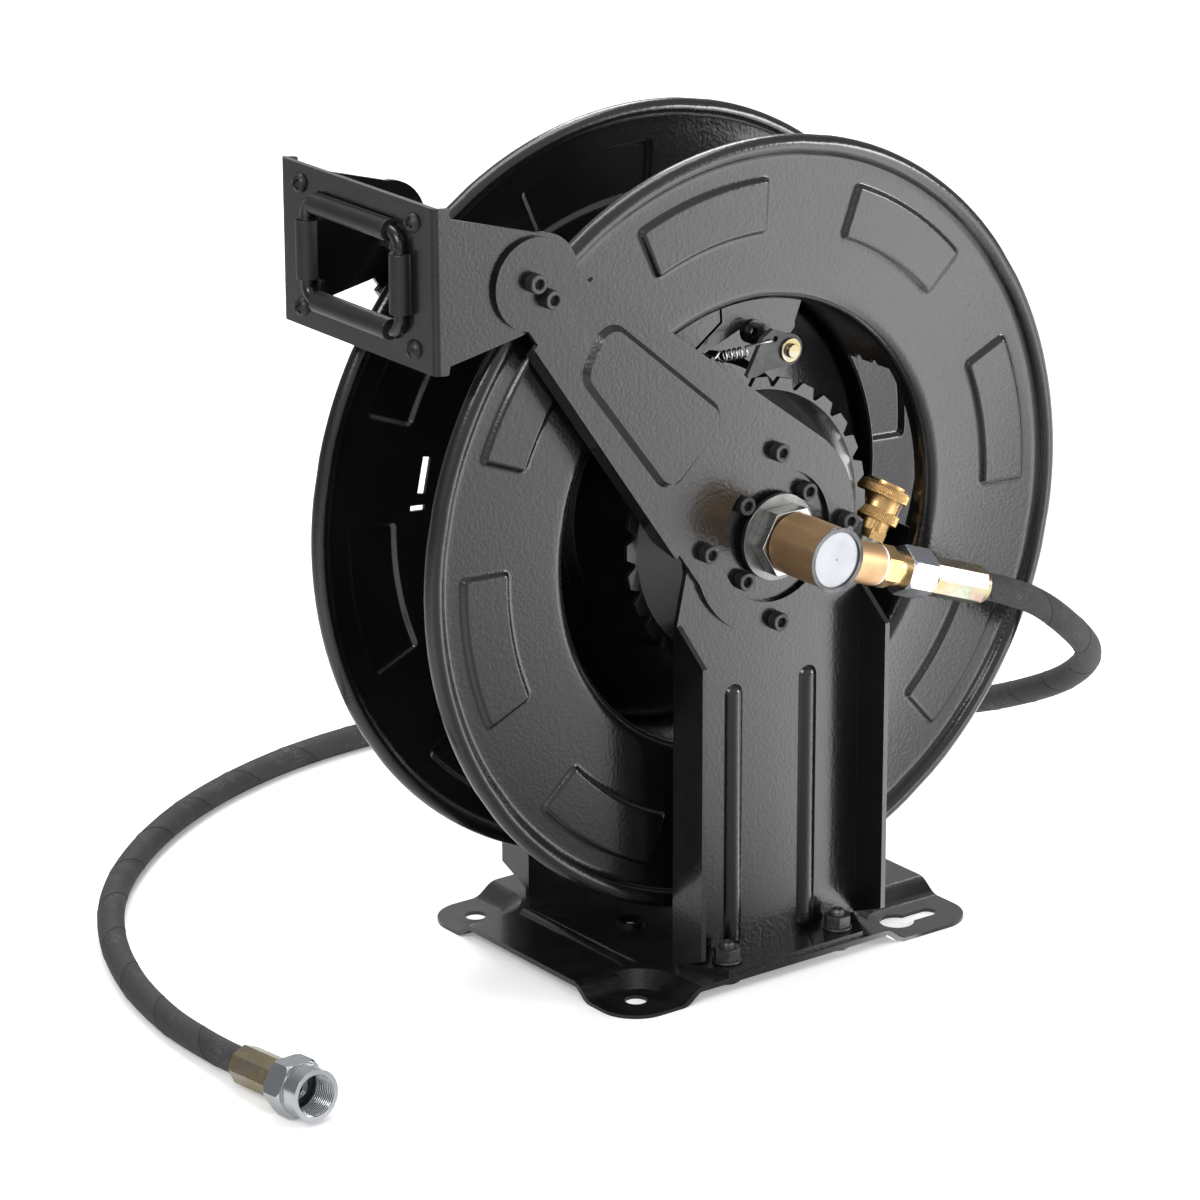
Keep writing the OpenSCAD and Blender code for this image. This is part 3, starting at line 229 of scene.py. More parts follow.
def edge_group():
    """Paler, rubbed edges found from the curvature of the surface."""
    t, given, out = group("rubbed_edge",
                          [("Color", "Color", (0, 0, 0, 1)), ("Edge Colour", "Color", (0.3, 0.3, 0.3, 1)),
                           ("Amount", "Float", 0.5), ("Start", "Float", 0.53)],
                          [("Color", "Color")])
    sharp = t.node("ShaderNodeNewGeometry").outputs["Pointiness"]
    place = t.place()
    rubbed = t.times(t.ramp(sharp, given["Start"], t.math("ADD", given["Start"], 0.07)),
                    t.ramp(t.noise(place, 90.0, 3.0, 0.6), 0.35, 0.65, 0.25, 1.0))
    mask = t.math("MULTIPLY", rubbed, given["Amount"], clamp=True)
    t.link(t.blend(mask, given["Color"], given["Edge Colour"]), out["Color"])
    return t.tree


def grain_group():
    """A fine cast or blasted grain."""
    t, given, out = group("fine_grain", [("Scale", "Float", 1500.0), ("Depth", "Float", 0.3)], [("Normal", "Vector")])
    place = t.place()
    grain = t.noise(place, given["Scale"], 3.0, 0.6)
    t.link(t.bump(t.times(grain, given["Depth"]), 0.5, 0.0002), out["Normal"])
    return t.tree


def passivation_group():
    """The drifting yellow, pink and green film of yellow passivated zinc."""
    t, given, out = group("passivation_film", [("Scale", "Float", 45.0), ("Shift", "Float", 0.0)],
                          [("Color", "Color")])
    place = t.place()
    wide = t.noise(place, given["Scale"], 2.5, 0.55)
    fine = t.noise(place, t.times(given["Scale"], 9.0), 3.0, 0.6)
    speckle = t.times(t.math("SUBTRACT", fine, 0.5), 0.25)
    drift = t.math("ADD", t.math("ADD", wide, given["Shift"]), speckle)
    ramp = t.node("ShaderNodeValToRGB")
    stops = [(0.30, (0.25, 0.24, 0.21)), (0.42, (0.27, 0.20, 0.09)), (0.50, (0.23, 0.22, 0.12)),
             (0.56, (0.26, 0.14, 0.13)), (0.62, (0.14, 0.21, 0.13)), (0.72, (0.25, 0.24, 0.20))]
    elements = ramp.color_ramp.elements
    for end in (0, -1):
        elements[end].position, elements[end].color = stops[end][0], (*stops[end][1], 1)
    for where, colour in stops[1:-1]:
        elements.new(where).color = (*colour, 1)
    t.link(drift, ramp.inputs["Fac"])
    t.link(ramp.outputs["Color"], out["Color"])
    return t.tree


GROUPS = {"peel": orange_peel_group(), "film": film_group(), "edge": edge_group(), "grain": grain_group(),
          "passivation": passivation_group()}


def new_material(name):
    """A material with the words for its tree and its Principled shader."""
    made = bpy.data.materials.new(name)
    made.use_nodes = True
    return made, Tree(made.node_tree), made.node_tree.nodes["Principled BSDF"]


def finish_material(name, clean, dusty, smooth, dull, metallic=0.0, edge=None, film_scale=14.0,
                    peel=None, grain=None, coat=0.0, coat_rough=0.2, colour_from=None):
    """One finish of the reel: a film, rubbed edges and a relief, joined to a Principled shader.
    clean and dusty are colours, smooth and dull the roughness that goes with each. edge is (colour, amount),
    peel (wave scale, wave, speck), grain (scale, depth) and colour_from (scale, shift) of the passivation film."""
    made, t, shader = new_material(name)

    def place(kind, **values):
        box = t.node("ShaderNodeGroup", node_tree=GROUPS[kind])
        for key, value in values.items():
            t.feed(box.inputs[key.replace("_", " ")], value)
        return box

    film = place("film", Scale=film_scale, Smooth=smooth, Dull=dull,
                 Clean_Colour=(*clean, 1), Dusty_Colour=(*dusty, 1))
    colour = film.outputs["Color"]
    if colour_from:
        tint = place("passivation", Scale=colour_from[0], Shift=colour_from[1])
        colour = t.blend(0.85, colour, tint.outputs["Color"])
    if edge:
        worn = place("edge", Edge_Colour=(*edge[0], 1), Amount=edge[1])
        t.link(colour, worn.inputs["Color"])
        colour = worn.outputs["Color"]
    t.link(colour, shader.inputs["Base Color"])
    t.link(film.outputs["Roughness"], shader.inputs["Roughness"])
    relief = None
    if peel:
        relief = place("peel", Wave_Scale=peel[0], Wave=peel[1], Speck=peel[2])
    elif grain:
        relief = place("grain", Scale=grain[0], Depth=grain[1])
    if relief:
        t.link(relief.outputs["Normal"], shader.inputs["Normal"])
    shader.inputs["Metallic"].default_value = metallic
    shader.inputs["Coat Weight"].default_value = coat
    shader.inputs["Coat Roughness"].default_value = coat_rough
    return made


FINISH = {
    "powder_coat": finish_material(
        "gloss_powder_coat", (0.0034, 0.0035, 0.0038), (0.006, 0.0062, 0.0066), 0.21, 0.29,
        edge=((0.03, 0.032, 0.036), 0.3), peel=(520.0, 0.8, 0.8), coat=0.3, coat_rough=0.1),
    "black_oxide": finish_material(
        "black_oxide", (0.018, 0.018, 0.019), (0.035, 0.035, 0.036), 0.36, 0.5, metallic=0.35,
        edge=((0.25, 0.25, 0.26), 0.6), grain=(1800.0, 0.5), film_scale=60.0),
    "roller_plastic": finish_material(
        "roller_plastic", (0.010, 0.0105, 0.0115), (0.018, 0.0185, 0.02), 0.34, 0.5,
        grain=(900.0, 0.35), film_scale=70.0),
    "steel": finish_material(
        "plated_steel", (0.46, 0.46, 0.455), (0.34, 0.34, 0.33), 0.24, 0.42, metallic=1.0,
        edge=((0.8, 0.8, 0.8), 0.5), grain=(1300.0, 0.4), film_scale=50.0),
    "bright_steel": finish_material(
        "bright_plating", (0.47, 0.49, 0.52), (0.38, 0.40, 0.42), 0.16, 0.30, metallic=1.0,
        edge=((0.85, 0.85, 0.86), 0.6), grain=(1200.0, 0.25), film_scale=40.0),
    "dark_steel": finish_material(
        "phosphated_steel", (0.12, 0.12, 0.117), (0.08, 0.08, 0.077), 0.30, 0.45, metallic=1.0,
        edge=((0.7, 0.7, 0.69), 0.8), grain=(1300.0, 0.4), film_scale=50.0),
    "cap_steel": finish_material(
        "turned_cap", (0.34, 0.35, 0.37), (0.29, 0.30, 0.32), 0.36, 0.5, metallic=1.0,
        grain=(1500.0, 0.3), film_scale=60.0),
    "brass": finish_material(
        "machined_brass", (0.62, 0.40, 0.17), (0.48, 0.30, 0.13), 0.22, 0.40, metallic=1.0,
        edge=((0.85, 0.62, 0.34), 0.6), grain=(1400.0, 0.3), film_scale=50.0),
    "cast_brass": finish_material(
        "satin_brass", (0.60, 0.38, 0.20), (0.46, 0.29, 0.16), 0.40, 0.58, metallic=0.9,
        edge=((0.75, 0.54, 0.28), 0.6), grain=(1900.0, 0.9), film_scale=60.0),
    "zinc_yellow": finish_material(
        "passivated_zinc", (0.26, 0.24, 0.17), (0.21, 0.18, 0.12), 0.20, 0.36, metallic=1.0,
        edge=((0.6, 0.59, 0.54), 0.5), colour_from=(46.0, 0.0), grain=(1500.0, 0.25)),
    "seal_rubber": finish_material(
        "seal_rubber", (0.02, 0.02, 0.02), (0.03, 0.03, 0.03), 0.5, 0.7, grain=(900.0, 0.3)),
    "seal_white": finish_material(
        "seal_plastic", (0.82, 0.83, 0.83), (0.72, 0.72, 0.71), 0.35, 0.5, grain=(900.0, 0.2)),
}


WRAP_PITCH_CM = 5.0  # one turn of the hose's wrap


def hose_material():
    """Matt cloth-wrapped rubber: a fine weave, pale rubbed specks and a darker line along the wrap's edge.
    It reads the hose's own map: u is the distance along it in decimetres, v goes once round it."""
    made, t, shader = new_material("wrapped_rubber")
    uv = t.node("ShaderNodeUVMap", uv_map="hose_map").outputs["UV"]
    parts = t.node("ShaderNodeSeparateXYZ")
    t.link(uv, parts.inputs[0])
    along, round_it = parts.outputs["X"], parts.outputs["Y"]
    weave = t.node("ShaderNodeTexWave", wave_type="BANDS", bands_direction="DIAGONAL")
    stretched = t.node("ShaderNodeMapping")
    t.link(uv, stretched.inputs["Vector"])
    stretched.inputs["Scale"].default_value = (90.0, 46.0, 1.0)
    t.link(stretched.outputs["Vector"], weave.inputs["Vector"])
    weave.inputs["Scale"].default_value = 1.0
    weave.inputs["Distortion"].default_value = 0.6
    place = t.place()
    grain = t.noise(place, 700.0, 3.0, 0.6)
    patches = t.ramp(t.noise(place, 38.0, 4.0, 0.65), 0.52, 0.72)
    specks = t.ramp(t.noise(place, 900.0, 3.0, 0.7), 0.5, 0.62)
    scuffs = t.times(patches, specks)
    phase = t.math("FRACT", t.math("SUBTRACT", t.times(along, 10.0 / WRAP_PITCH_CM), round_it))
    shade = t.blend(phase, (0.026, 0.0265, 0.028, 1), (0.034, 0.0345, 0.036, 1))
    shade = t.blend(scuffs, shade, (0.13, 0.13, 0.135, 1))
    seam = t.ramp(t.math("ABSOLUTE", t.math("SUBTRACT", phase, 0.5)), 0.485, 0.5)
    shade = t.blend(t.times(seam, 0.75), shade, (0.006, 0.006, 0.007, 1))
    t.link(shade, shader.inputs["Base Color"])
    t.link(t.ramp(grain, 0.2, 0.8, 0.62, 0.86), shader.inputs["Roughness"])
    height = t.math("ADD", t.times(weave.outputs["Fac"], 0.35), grain)
    t.link(t.bump(height, 0.45, 0.0002), shader.inputs["Normal"])
    shader.inputs["Specular IOR Level"].default_value = 0.35
    return made


FINISH["hose_rubber"] = hose_material()


# ---------------------------------------------------------------- floor and air
DARK_SIDE = (-0.72, 0.69, 0.0)       # behind the guide
RIGHT_SIDE = (0.95, 0.2, 0.2)
PANEL_SIDE = (0.669, -0.743, 0.0)    # the floor glows on this side, for reflections in the swivel's side
PANEL_ACROSS = (0.743, 0.669, 0.0)
FLOOR_HALF = 9.0
FLOOR_SEEN, FLOOR_GLOW = 0.93, 0.24  # albedo and glow of the floor as the camera sees it
AIR_DIM = 0.2                        # the air is this much dimmer for reflections, more to the right


def studio_paper():
    """White paper for the camera. For reflections it has painted shade, darker near the reel and to the sides, and
    painted light in one glowing panel.
    """
    paper, t, shader = new_material("studio_paper")
    shader.inputs["Roughness"].default_value = 0.9
    shader.inputs["Specular IOR Level"].default_value = 0.1
    shader.inputs["Emission Color"].default_value = (1, 1, 1, 1)
    seen = t.node("ShaderNodeLightPath").outputs["Is Camera Ray"]
    unseen = t.math("SUBTRACT", 1.0, seen)
    place = t.place()
    heading = t.vector("NORMALIZE", place)["Vector"]
    # Painted shade, seen only in reflections: the paper is darker near the reel, towards DARK_SIDE and towards the
    # front.
    near = t.ramp(t.vector("LENGTH", place)["Value"], 0.1, 0.6, 0.8, 1.0)
    dark = t.ramp(t.aimed(place, DARK_SIDE), 0.15, 0.9, 1.0, 0.4)
    front = t.ramp(t.aimed(heading, (0.0, -1.0, 0.0)), 0.3, 0.8, 1.0, 0.5)
    painted_shade = t.times(t.times(near, dark), front)
    t.link(t.math("MAXIMUM", t.times(seen, FLOOR_SEEN), t.times(unseen, painted_shade)),
           shader.inputs["Base Color"])
    # Painted light, seen only in reflections: one panel of the paper glows, though it is no lamp.
    turn = t.aimed(heading, PANEL_ACROSS)
    wide = t.times(t.math("POWER", t.ramp(turn, -0.62, -0.03), 1.5), 2.3)
    panel = t.math("ADD", wide, t.ramp(turn, -0.15, 0.02, 0.0, 1.7))
    panel = t.times(panel, t.ramp(turn, 0.085, 0.12, 1.0, 0.08))
    panel = t.times(panel, t.ramp(t.aimed(heading, PANEL_SIDE), 0.0, 0.3))
    t.link(t.math("ADD", t.times(seen, FLOOR_GLOW), t.times(unseen, panel)),
           shader.inputs["Emission Strength"])
    return paper


def studio_air():
    """White air for the camera, a little dimmer on two sides for reflections."""
    world = bpy.data.worlds.new("studio_air")
    world.use_nodes = True
    w = Tree(world.node_tree)
    unseen = w.math("SUBTRACT", 1.0, w.node("ShaderNodeLightPath").outputs["Is Camera Ray"])
    way = w.node("ShaderNodeTexCoord").outputs["Generated"]
    shade = w.times(unseen, w.ramp(w.aimed(way, DARK_SIDE), 0.2, 0.85, 0.0, 0.5))
    dimmer = w.times(unseen, w.ramp(w.aimed(way, RIGHT_SIDE), 0.45, 0.92, AIR_DIM, 0.66))
    background = world.node_tree.nodes["Background"]
    background.inputs["Color"].default_value = (1, 1, 1, 1)
    w.link(w.math("SUBTRACT", w.math("SUBTRACT", 1.0, dimmer), shade, clamp=True), background.inputs["Strength"])
    return world


def set_studio():
    mesh = bpy.data.meshes.new("studio_floor")
    half = FLOOR_HALF
    mesh.from_pydata([(-half, -half, 0), (half, -half, 0), (half, half, 0), (-half, half, 0)], [], [(0, 1, 2, 3)])
    mesh.materials.append(studio_paper())
    add("studio_floor", mesh)
    bpy.context.scene.world = studio_air()
    bpy.context.scene.view_settings.view_transform = "Standard"
    for row in LAMPS:
        area_light(*row)


set_studio()


# ---------------------------------------------------------------- making pieces
ORIGIN, UP = Vector((0, 0, 0)), (0, 0, 1)


def new_piece(name, points, faces, finish):
    mesh = bpy.data.meshes.new(name)
    mesh.from_pydata([tuple(p) for p in points], [], faces)
    mesh.materials.append(FINISH[finish])
    mesh.polygons.foreach_set("use_smooth", [True] * len(mesh.polygons))
    return add(name, mesh)


def bake_modifiers(piece):
    """Makes the piece with its modifiers one plain mesh."""
    bpy.context.view_layer.update()
    graph = bpy.context.evaluated_depsgraph_get()
    mesh = bpy.data.meshes.new_from_object(piece.evaluated_get(graph), preserve_all_data_layers=True, depsgraph=graph)
    piece.modifiers.clear()
    piece.data = mesh


def face_outwards(piece):
    """Turns every face of a closed piece outwards."""
    shape = bmesh.new()
    shape.from_mesh(piece.data)
    bmesh.ops.remove_doubles(shape, verts=shape.verts, dist=1e-7)
    bmesh.ops.recalc_face_normals(shape, faces=shape.faces)
    shape.to_mesh(piece.data)
    shape.free()
    return piece


def settle(piece, node):
    """The piece stands for the node and moves with its body."""
    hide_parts(node)
    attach(piece, BODY_OF[node])
    return piece


SAME_POINT = 2e-6         # corners of the CAD triangles that are one point
FLAT = math.radians(0.4)  # faces that turn by less are one flat face
SHARP = math.radians(32)  # edges that turn by more are rounded
BLUNT = math.radians(68)  # edges of pressed shapes turn by less
ON_PLANE = 2e-4           # edges this near a fold or a face belong to it
SLIVER = 3e-5             # corners nearer than this after a wide fold are one
LONG_FOLD, LONG_RIM, LONG_SOFT = 0.02, 0.08, 0.004  # shorter edges aren't rounded by these widths
EDGE = 0.0006             # the usual rounding of an edge


def dressed(node, finish=None, edge=EDGE, steps=3, bend=None, soft=None, rim=None):
    """A copy of a CAD node with its triangles merged and its edges rounded by the given width.
    bend is (distance from the axle along X, along Y, width) for the folds of a sheet, soft the width for the
    blunt edges of pressed shapes, and rim the width for the long edges of the outermost face."""
    shape = bmesh.new()
    shape.from_mesh(NODES[node].data)
    bmesh.ops.remove_doubles(shape, verts=shape.verts, dist=SAME_POINT)
    bmesh.ops.dissolve_degenerate(shape, edges=shape.edges, dist=1e-6)
    bmesh.ops.dissolve_limit(shape, angle_limit=FLAT, verts=shape.verts, edges=shape.edges)
    folds = {}
    outermost = max(abs(v.co.y - AXLE.y) for v in shape.verts)
    for e in shape.edges:
        angle = e.calc_face_angle(0.0) if len(e.link_faces) == 2 else 0.0
        off = (e.verts[0].co + e.verts[1].co) / 2 - AXLE
        long_by = e.calc_length()
        if bend and angle > SHARP and long_by > LONG_FOLD and all(
                abs(abs(far) - place) < ON_PLANE for far, place in zip(off.xy, bend)):
            folds.setdefault(bend[2], []).append(e)
        elif rim and angle > BLUNT and long_by > LONG_RIM and abs(abs(off.y) - outermost) < ON_PLANE:
            folds.setdefault(rim, []).append(e)
        elif soft and SHARP < angle < BLUNT and long_by > LONG_SOFT:
            folds.setdefault(soft, []).append(e)
    for width, edges in folds.items():
        bmesh.ops.bevel(shape, geom=edges, offset=width, offset_type="OFFSET", segments=steps, profile=0.5,
                        affect="EDGES", clamp_overlap=False)
    if bend or rim:
        bmesh.ops.remove_doubles(shape, verts=shape.verts, dist=SLIVER)
        bmesh.ops.dissolve_degenerate(shape, edges=shape.edges, dist=SLIVER / 3)
    layer = shape.edges.layers.float.new("bevel_weight_edge")
    for e in shape.edges:
        if len(e.link_faces) == 2 and e.calc_face_angle(0.0) > SHARP:
            e[layer] = 1.0
    for f in shape.faces:
        f.smooth = True
    mesh = bpy.data.meshes.new("dressed_" + node)
    shape.to_mesh(mesh)
    shape.free()
    piece = add("dressed_" + node, mesh)
    mesh.materials.append(FINISH[finish or SLOT_OF[node]])
    if edge > 0:
        bevel = piece.modifiers.new("rounded_edges", "BEVEL")
        bevel.width = edge
        bevel.segments = 2
        bevel.limit_method = "WEIGHT"
        bevel.miter_outer = "MITER_SHARP"
    even = piece.modifiers.new("even_shading", "WEIGHTED_NORMAL")
    even.weight = 60
    even.keep_sharp = True
    bake_modifiers(piece)
    return settle(piece, node)


def frames_along(path):
    """The points of a path, and for each a pair of directions across it that don't twist."""
    points = [Vector(p) for p in path]
    last = len(points) - 1
    heads = [(points[min(i + 1, last)] - points[max(i - 1, 0)]).normalized() for i in range(last + 1)]
    side = heads[0].cross(Vector((0, 0, 1)))
    side = side.normalized() if side.length > 1e-6 else Vector((1, 0, 0))
    pairs = []
    for head in heads:
        side = (side - head * side.dot(head)).normalized()
        pairs.append((side, head.cross(side).normalized()))
    return points, pairs


def distances(points):
    """How far along the path each point is."""
    run = [0.0]
    for a, b in zip(points, points[1:]):
        run.append(run[-1] + (b - a).length)
    return run


def tube(name, path, radius, sides, finish, uv=False):
    """A round bar along a path. Its map holds decimetres along the path and turns round it."""
    points, pairs = frames_along(path)
    verts, faces, marks = [], [], []
    run = [10 * distance for distance in distances(points)]
    for centre, (side, rise) in zip(points, pairs):
        for k in range(sides):
            turn = 2 * math.pi * k / sides
            verts.append(centre + radius * (math.cos(turn) * side + math.sin(turn) * rise))
    for i in range(len(points) - 1):
        for k in range(sides):
            n = (k + 1) % sides
            faces.append((i * sides + k, (i + 1) * sides + k, (i + 1) * sides + n, i * sides + n))
            marks.append(((run[i], k / sides), (run[i + 1], k / sides),
                          (run[i + 1], (k + 1) / sides), (run[i], (k + 1) / sides)))
    last = (len(points) - 1) * sides
    faces.append(tuple(range(sides)))
    faces.append(tuple(last + k for k in reversed(range(sides))))
    marks.append([(0, k / sides) for k in range(sides)])
    marks.append([(run[-1], k / sides) for k in range(sides)])
    piece = new_piece(name, verts, faces, finish)
    if uv:
        layer = piece.data.uv_layers.new(name="hose_map")
        for polygon, corners in zip(piece.data.polygons, marks):
            for loop, mark in zip(polygon.loop_indices, corners):
                layer.data[loop].uv = mark
    return piece


def smooth_route(points, steps):
    """A smooth curve through the points, as the source of the part draws it."""
    out = []
    for i in range(len(points) - 1):
        a, b, c, d = (np.array(points[min(max(j, 0), len(points) - 1)], float) for j in (i - 1, i, i + 1, i + 2))
        for k in range(steps):
            t = k / steps
            square, cube = 2 * a - 5 * b + 4 * c - d, 3 * b - 3 * c + d - a
            out.append(0.5 * (2 * b + (c - a) * t + square * t * t + cube * t ** 3))
    out.append(np.array(points[-1], float))
    return out


# ---------------------------------------------------------------- the inlet hose, from the swivel to its free end
HOSE_ROUTE_MM = [(110, -108, 201), (127, -108, 195), (153, -108, 182), (182, -101, 161), (211, -84, 138),
                 (234, -56, 115), (250, -20, 92), (263, 23, 70), (275, 72, 48), (285, 124, 28), (284, 175, 14),
                 (268, 222, 8), (236, 262, 8), (192, 292, 8), (140, 314, 8), (84, 327, 8), (25, 332, 8),
                 (-40, 327, 8), (-100, 310, 8), (-155, 283, 8), (-205, 246, 8), (-246, 203, 8), (-278, 152, 8),
                 (-300, 97, 8), (-311, 46, 8), (-315, 1, 9.7), (-316, -36, 12.3)]
HOSE_RADIUS = 0.0075
END_POINT = floor_point(-316, -36, 12.3)
END_PITCH, END_YAW = math.radians(4), math.radians(2)
END_AXIS = Vector((math.sin(END_YAW) * math.cos(END_PITCH), -math.cos(END_YAW) * math.cos(END_PITCH),
                   math.sin(END_PITCH)))
WRAP_EDGE = ((-0.0008, -0.00012), (-0.0001, 0.00022), (0.0001, 0.00020), (0.0004, -0.00012))  # (along, lift)


def make_hose():
    """The hose's cover and the low step where its spiral wrap overlaps."""
    path = [floor_point(*p) for p in smooth_route(HOSE_ROUTE_MM, 12)]
    hose = tube("inlet_hose_cover", path, HOSE_RADIUS, 28, "hose_rubber", uv=True)
    face_outwards(hose)
    points, pairs = frames_along(path)
    run, verts, faces = distances(points), [], []
    pitch = WRAP_PITCH_CM * 0.01
    turns = run[-1] / pitch
    count = int(turns * 30)
    for i in range(count + 1):
        reach = run[-1] * i / count
        j = min(max(int(np.searchsorted(run, reach)) - 1, 0), len(points) - 2)
        part = (reach - run[j]) / (run[j + 1] - run[j])
        centre = points[j].lerp(points[j + 1], part)
        side = pairs[j][0].lerp(pairs[j + 1][0], part)
        rise = pairs[j][1].lerp(pairs[j + 1][1], part)
        turn = 2 * math.pi * reach / pitch
        out = (math.cos(turn) * side + math.sin(turn) * rise).normalized()
        head = (points[j + 1] - points[j]).normalized()
        for along, lift in WRAP_EDGE:
            verts.append(centre + head * along + out * (HOSE_RADIUS + lift))
    for i in range(count):
        for k in range(3):
            faces.append((4 * i + k, 4 * i + k + 1, 4 * i + k + 5, 4 * i + k + 4))
        faces.append((4 * i + 3, 4 * i, 4 * i + 4, 4 * i + 7))
    faces += [(3, 2, 1, 0), (4 * count, 4 * count + 1, 4 * count + 2, 4 * count + 3)]
    seam = new_piece("inlet_hose_wrap_edge", verts, faces, "hose_rubber")
    face_outwards(seam)
    settle(hose, "inlet_hose")
    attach(seam, "base")
    return hose, seam, points, run[-1]


hose, hose_seam, hose_path, hose_length = make_hose()


# ---------------------------------------------------------------- shapes turned or wound about a line
def across(axis):
    """Two directions across a line."""
    axis = Vector(axis).normalized()
    side = axis.cross(Vector((0, 0, 1)))
    side = side.normalized() if side.length > 1e-3 else Vector((1, 0, 0))
    return axis, side, axis.cross(side).normalized()


def ring_faces(columns, rows, closed=True):
    """Faces between the columns of a ring; closed joins the last row to the first."""
    faces = []
    for c in range(columns):
        n = (c + 1) % columns
        for k in range(rows if closed else rows - 1):
            m = (k + 1) % rows
            faces.append((c * rows + k, c * rows + m, n * rows + m, n * rows + k))
    return faces


def turned(name, profile_mm, centre, axis, columns, finish, relief=None, closed=True):
    """Turns a profile of (radius, distance) round a line. relief(angle, radius, distance) adds to the radius."""
    axis, side, rise = across(axis)
    verts = []
    for c in range(columns):
        angle = 2 * math.pi * c / columns
        out = math.cos(angle) * side + math.sin(angle) * rise
        for radius, reach in profile_mm:
            more = relief(angle, radius, reach) if relief else 0.0
            verts.append(centre + axis * reach * 0.001 + out * (radius + more) * 0.001)
    return face_outwards(new_piece(name, verts, ring_faces(columns, len(profile_mm), closed), finish))


def mark_sharp(piece, degrees):
    piece.data.set_sharp_from_angle(angle=math.radians(degrees))


def helix(centre, axis, radius, pitch, start, stop, steps=40):
    """Points of a helix round a line. Sizes in millimetres."""
    axis, side, rise = across(axis)
    count = int(abs(stop - start) / pitch * steps)
    points = []
    for i in range(count + 1):
        angle = 2 * math.pi * i / steps
        reach = start + (stop - start) * i / count
        out = math.cos(angle) * side + math.sin(angle) * rise
        points.append(centre + axis * reach * 0.001 + out * radius * 0.001)
    return points


def solids_of(node):
    """The lowest and highest corner of each separate solid of a CAD node."""
    shape = bmesh.new()
    shape.from_mesh(NODES[node].data)
    bmesh.ops.remove_doubles(shape, verts=shape.verts, dist=SAME_POINT)
    shape.verts.ensure_lookup_table()
    seen, boxes = set(), []
    for first in shape.verts:
        if first.index in seen:
            continue
        stack, points = [first], []
        seen.add(first.index)
        while stack:
            v = stack.pop()
            points.append(v.co)
            for e in v.link_edges:
                w = e.other_vert(v)
                if w.index not in seen:
                    seen.add(w.index)
                    stack.append(w)
        low = Vector([min(q[k] for q in points) for k in range(3)])
        high = Vector([max(q[k] for q in points) for k in range(3)])
        boxes.append((low, high))
    shape.free()
    return sorted(boxes, key=lambda b: tuple(round(v, 5) for v in b[0]))


# ---------------------------------------------------------------- fasteners set out by geometry nodes
def set_out_tree():
    """Puts one object on every point, turned so that its Z follows the point's facing, with its own spin."""
    tree = bpy.data.node_groups.new("set_out_fasteners", "GeometryNodeTree")
    tree.interface.new_socket("Geometry", in_out="INPUT", socket_type="NodeSocketGeometry")
    tree.interface.new_socket("Fastener", in_out="INPUT", socket_type="NodeSocketObject")
    tree.interface.new_socket("Finish", in_out="INPUT", socket_type="NodeSocketMaterial")
    tree.interface.new_socket("Seed", in_out="INPUT", socket_type="NodeSocketInt")
    tree.interface.new_socket("Geometry", in_out="OUTPUT", socket_type="NodeSocketGeometry")
    t = Tree(tree)
    given = t.node("NodeGroupInput").outputs
    piece = t.node("GeometryNodeObjectInfo")
    t.link(given["Fastener"], piece.inputs["Object"])
    facing = t.node("GeometryNodeInputNamedAttribute", data_type="FLOAT_VECTOR")
    facing.inputs["Name"].default_value = "facing"
    align = t.node("FunctionNodeAlignRotationToVector", axis="Z")
    t.link(facing.outputs["Attribute"], align.inputs["Vector"])
    chance = t.node("FunctionNodeRandomValue", data_type="FLOAT")
    chance.inputs[2].default_value, chance.inputs[3].default_value = 0.0, 2 * math.pi
    t.link(given["Seed"], chance.inputs["Seed"])
    spin = t.node("FunctionNodeAxisAngleToRotation")
    spin.inputs["Axis"].default_value = (0, 0, 1)
    t.link(chance.outputs[1], spin.inputs["Angle"])
    both = t.node("FunctionNodeRotateRotation", rotation_space="LOCAL")
    t.link(align.outputs["Rotation"], both.inputs["Rotation"])
    t.link(spin.outputs["Rotation"], both.inputs["Rotate By"])
    place = t.node("GeometryNodeInstanceOnPoints")
    t.link(given["Geometry"], place.inputs["Points"])
    t.link(piece.outputs["Geometry"], place.inputs["Instance"])
    t.link(both.outputs["Rotation"], place.inputs["Rotation"])
    real = t.node("GeometryNodeRealizeInstances")
    t.link(place.outputs["Instances"], real.inputs["Geometry"])
    paint = t.node("GeometryNodeSetMaterial")
    t.link(real.outputs["Geometry"], paint.inputs["Geometry"])
    t.link(given["Finish"], paint.inputs["Material"])
    t.link(paint.outputs["Geometry"], t.node("NodeGroupOutput").inputs["Geometry"])
    return tree


SET_OUT = set_out_tree()


def set_out(name, sample, places, finish, node, seed):
    """Sets out the sample on (point, facing) pairs as one plain piece that stands for the node."""
    mesh = bpy.data.meshes.new(name)
    mesh.from_pydata([tuple(p) for p, _ in places], [], [])
    facing = mesh.attributes.new("facing", "FLOAT_VECTOR", "POINT")
    for i, (_, way) in enumerate(places):
        facing.data[i].vector = way
    piece = add(name, mesh)
    work = piece.modifiers.new("set_out", "NODES")
    work.node_group = SET_OUT
    keys = {item.name: item.identifier for item in SET_OUT.interface.items_tree if item.in_out == "INPUT"}
    work[keys["Fastener"]] = sample
    work[keys["Finish"]] = FINISH[finish]
    work[keys["Seed"]] = seed
    bake_modifiers(piece)
    mark_sharp(piece, 32)
    bpy.data.objects.remove(sample)
    settle(piece, node)


def join(name, parts, finish):
    """Joins loose shapes into one sample at the origin."""
    shape = bmesh.new()
    for part in parts:
        shape.from_mesh(part.data)
        bpy.data.objects.remove(part)
    sample = new_piece(name, [], [], finish)
    shape.to_mesh(sample.data)
    shape.free()
    return sample


def in_hexagon(angle, across_flats):
    """Reach of a hexagon's side at an angle."""
    part = (angle % (math.pi / 3)) - math.pi / 6
    return across_flats / 2 / math.cos(part)


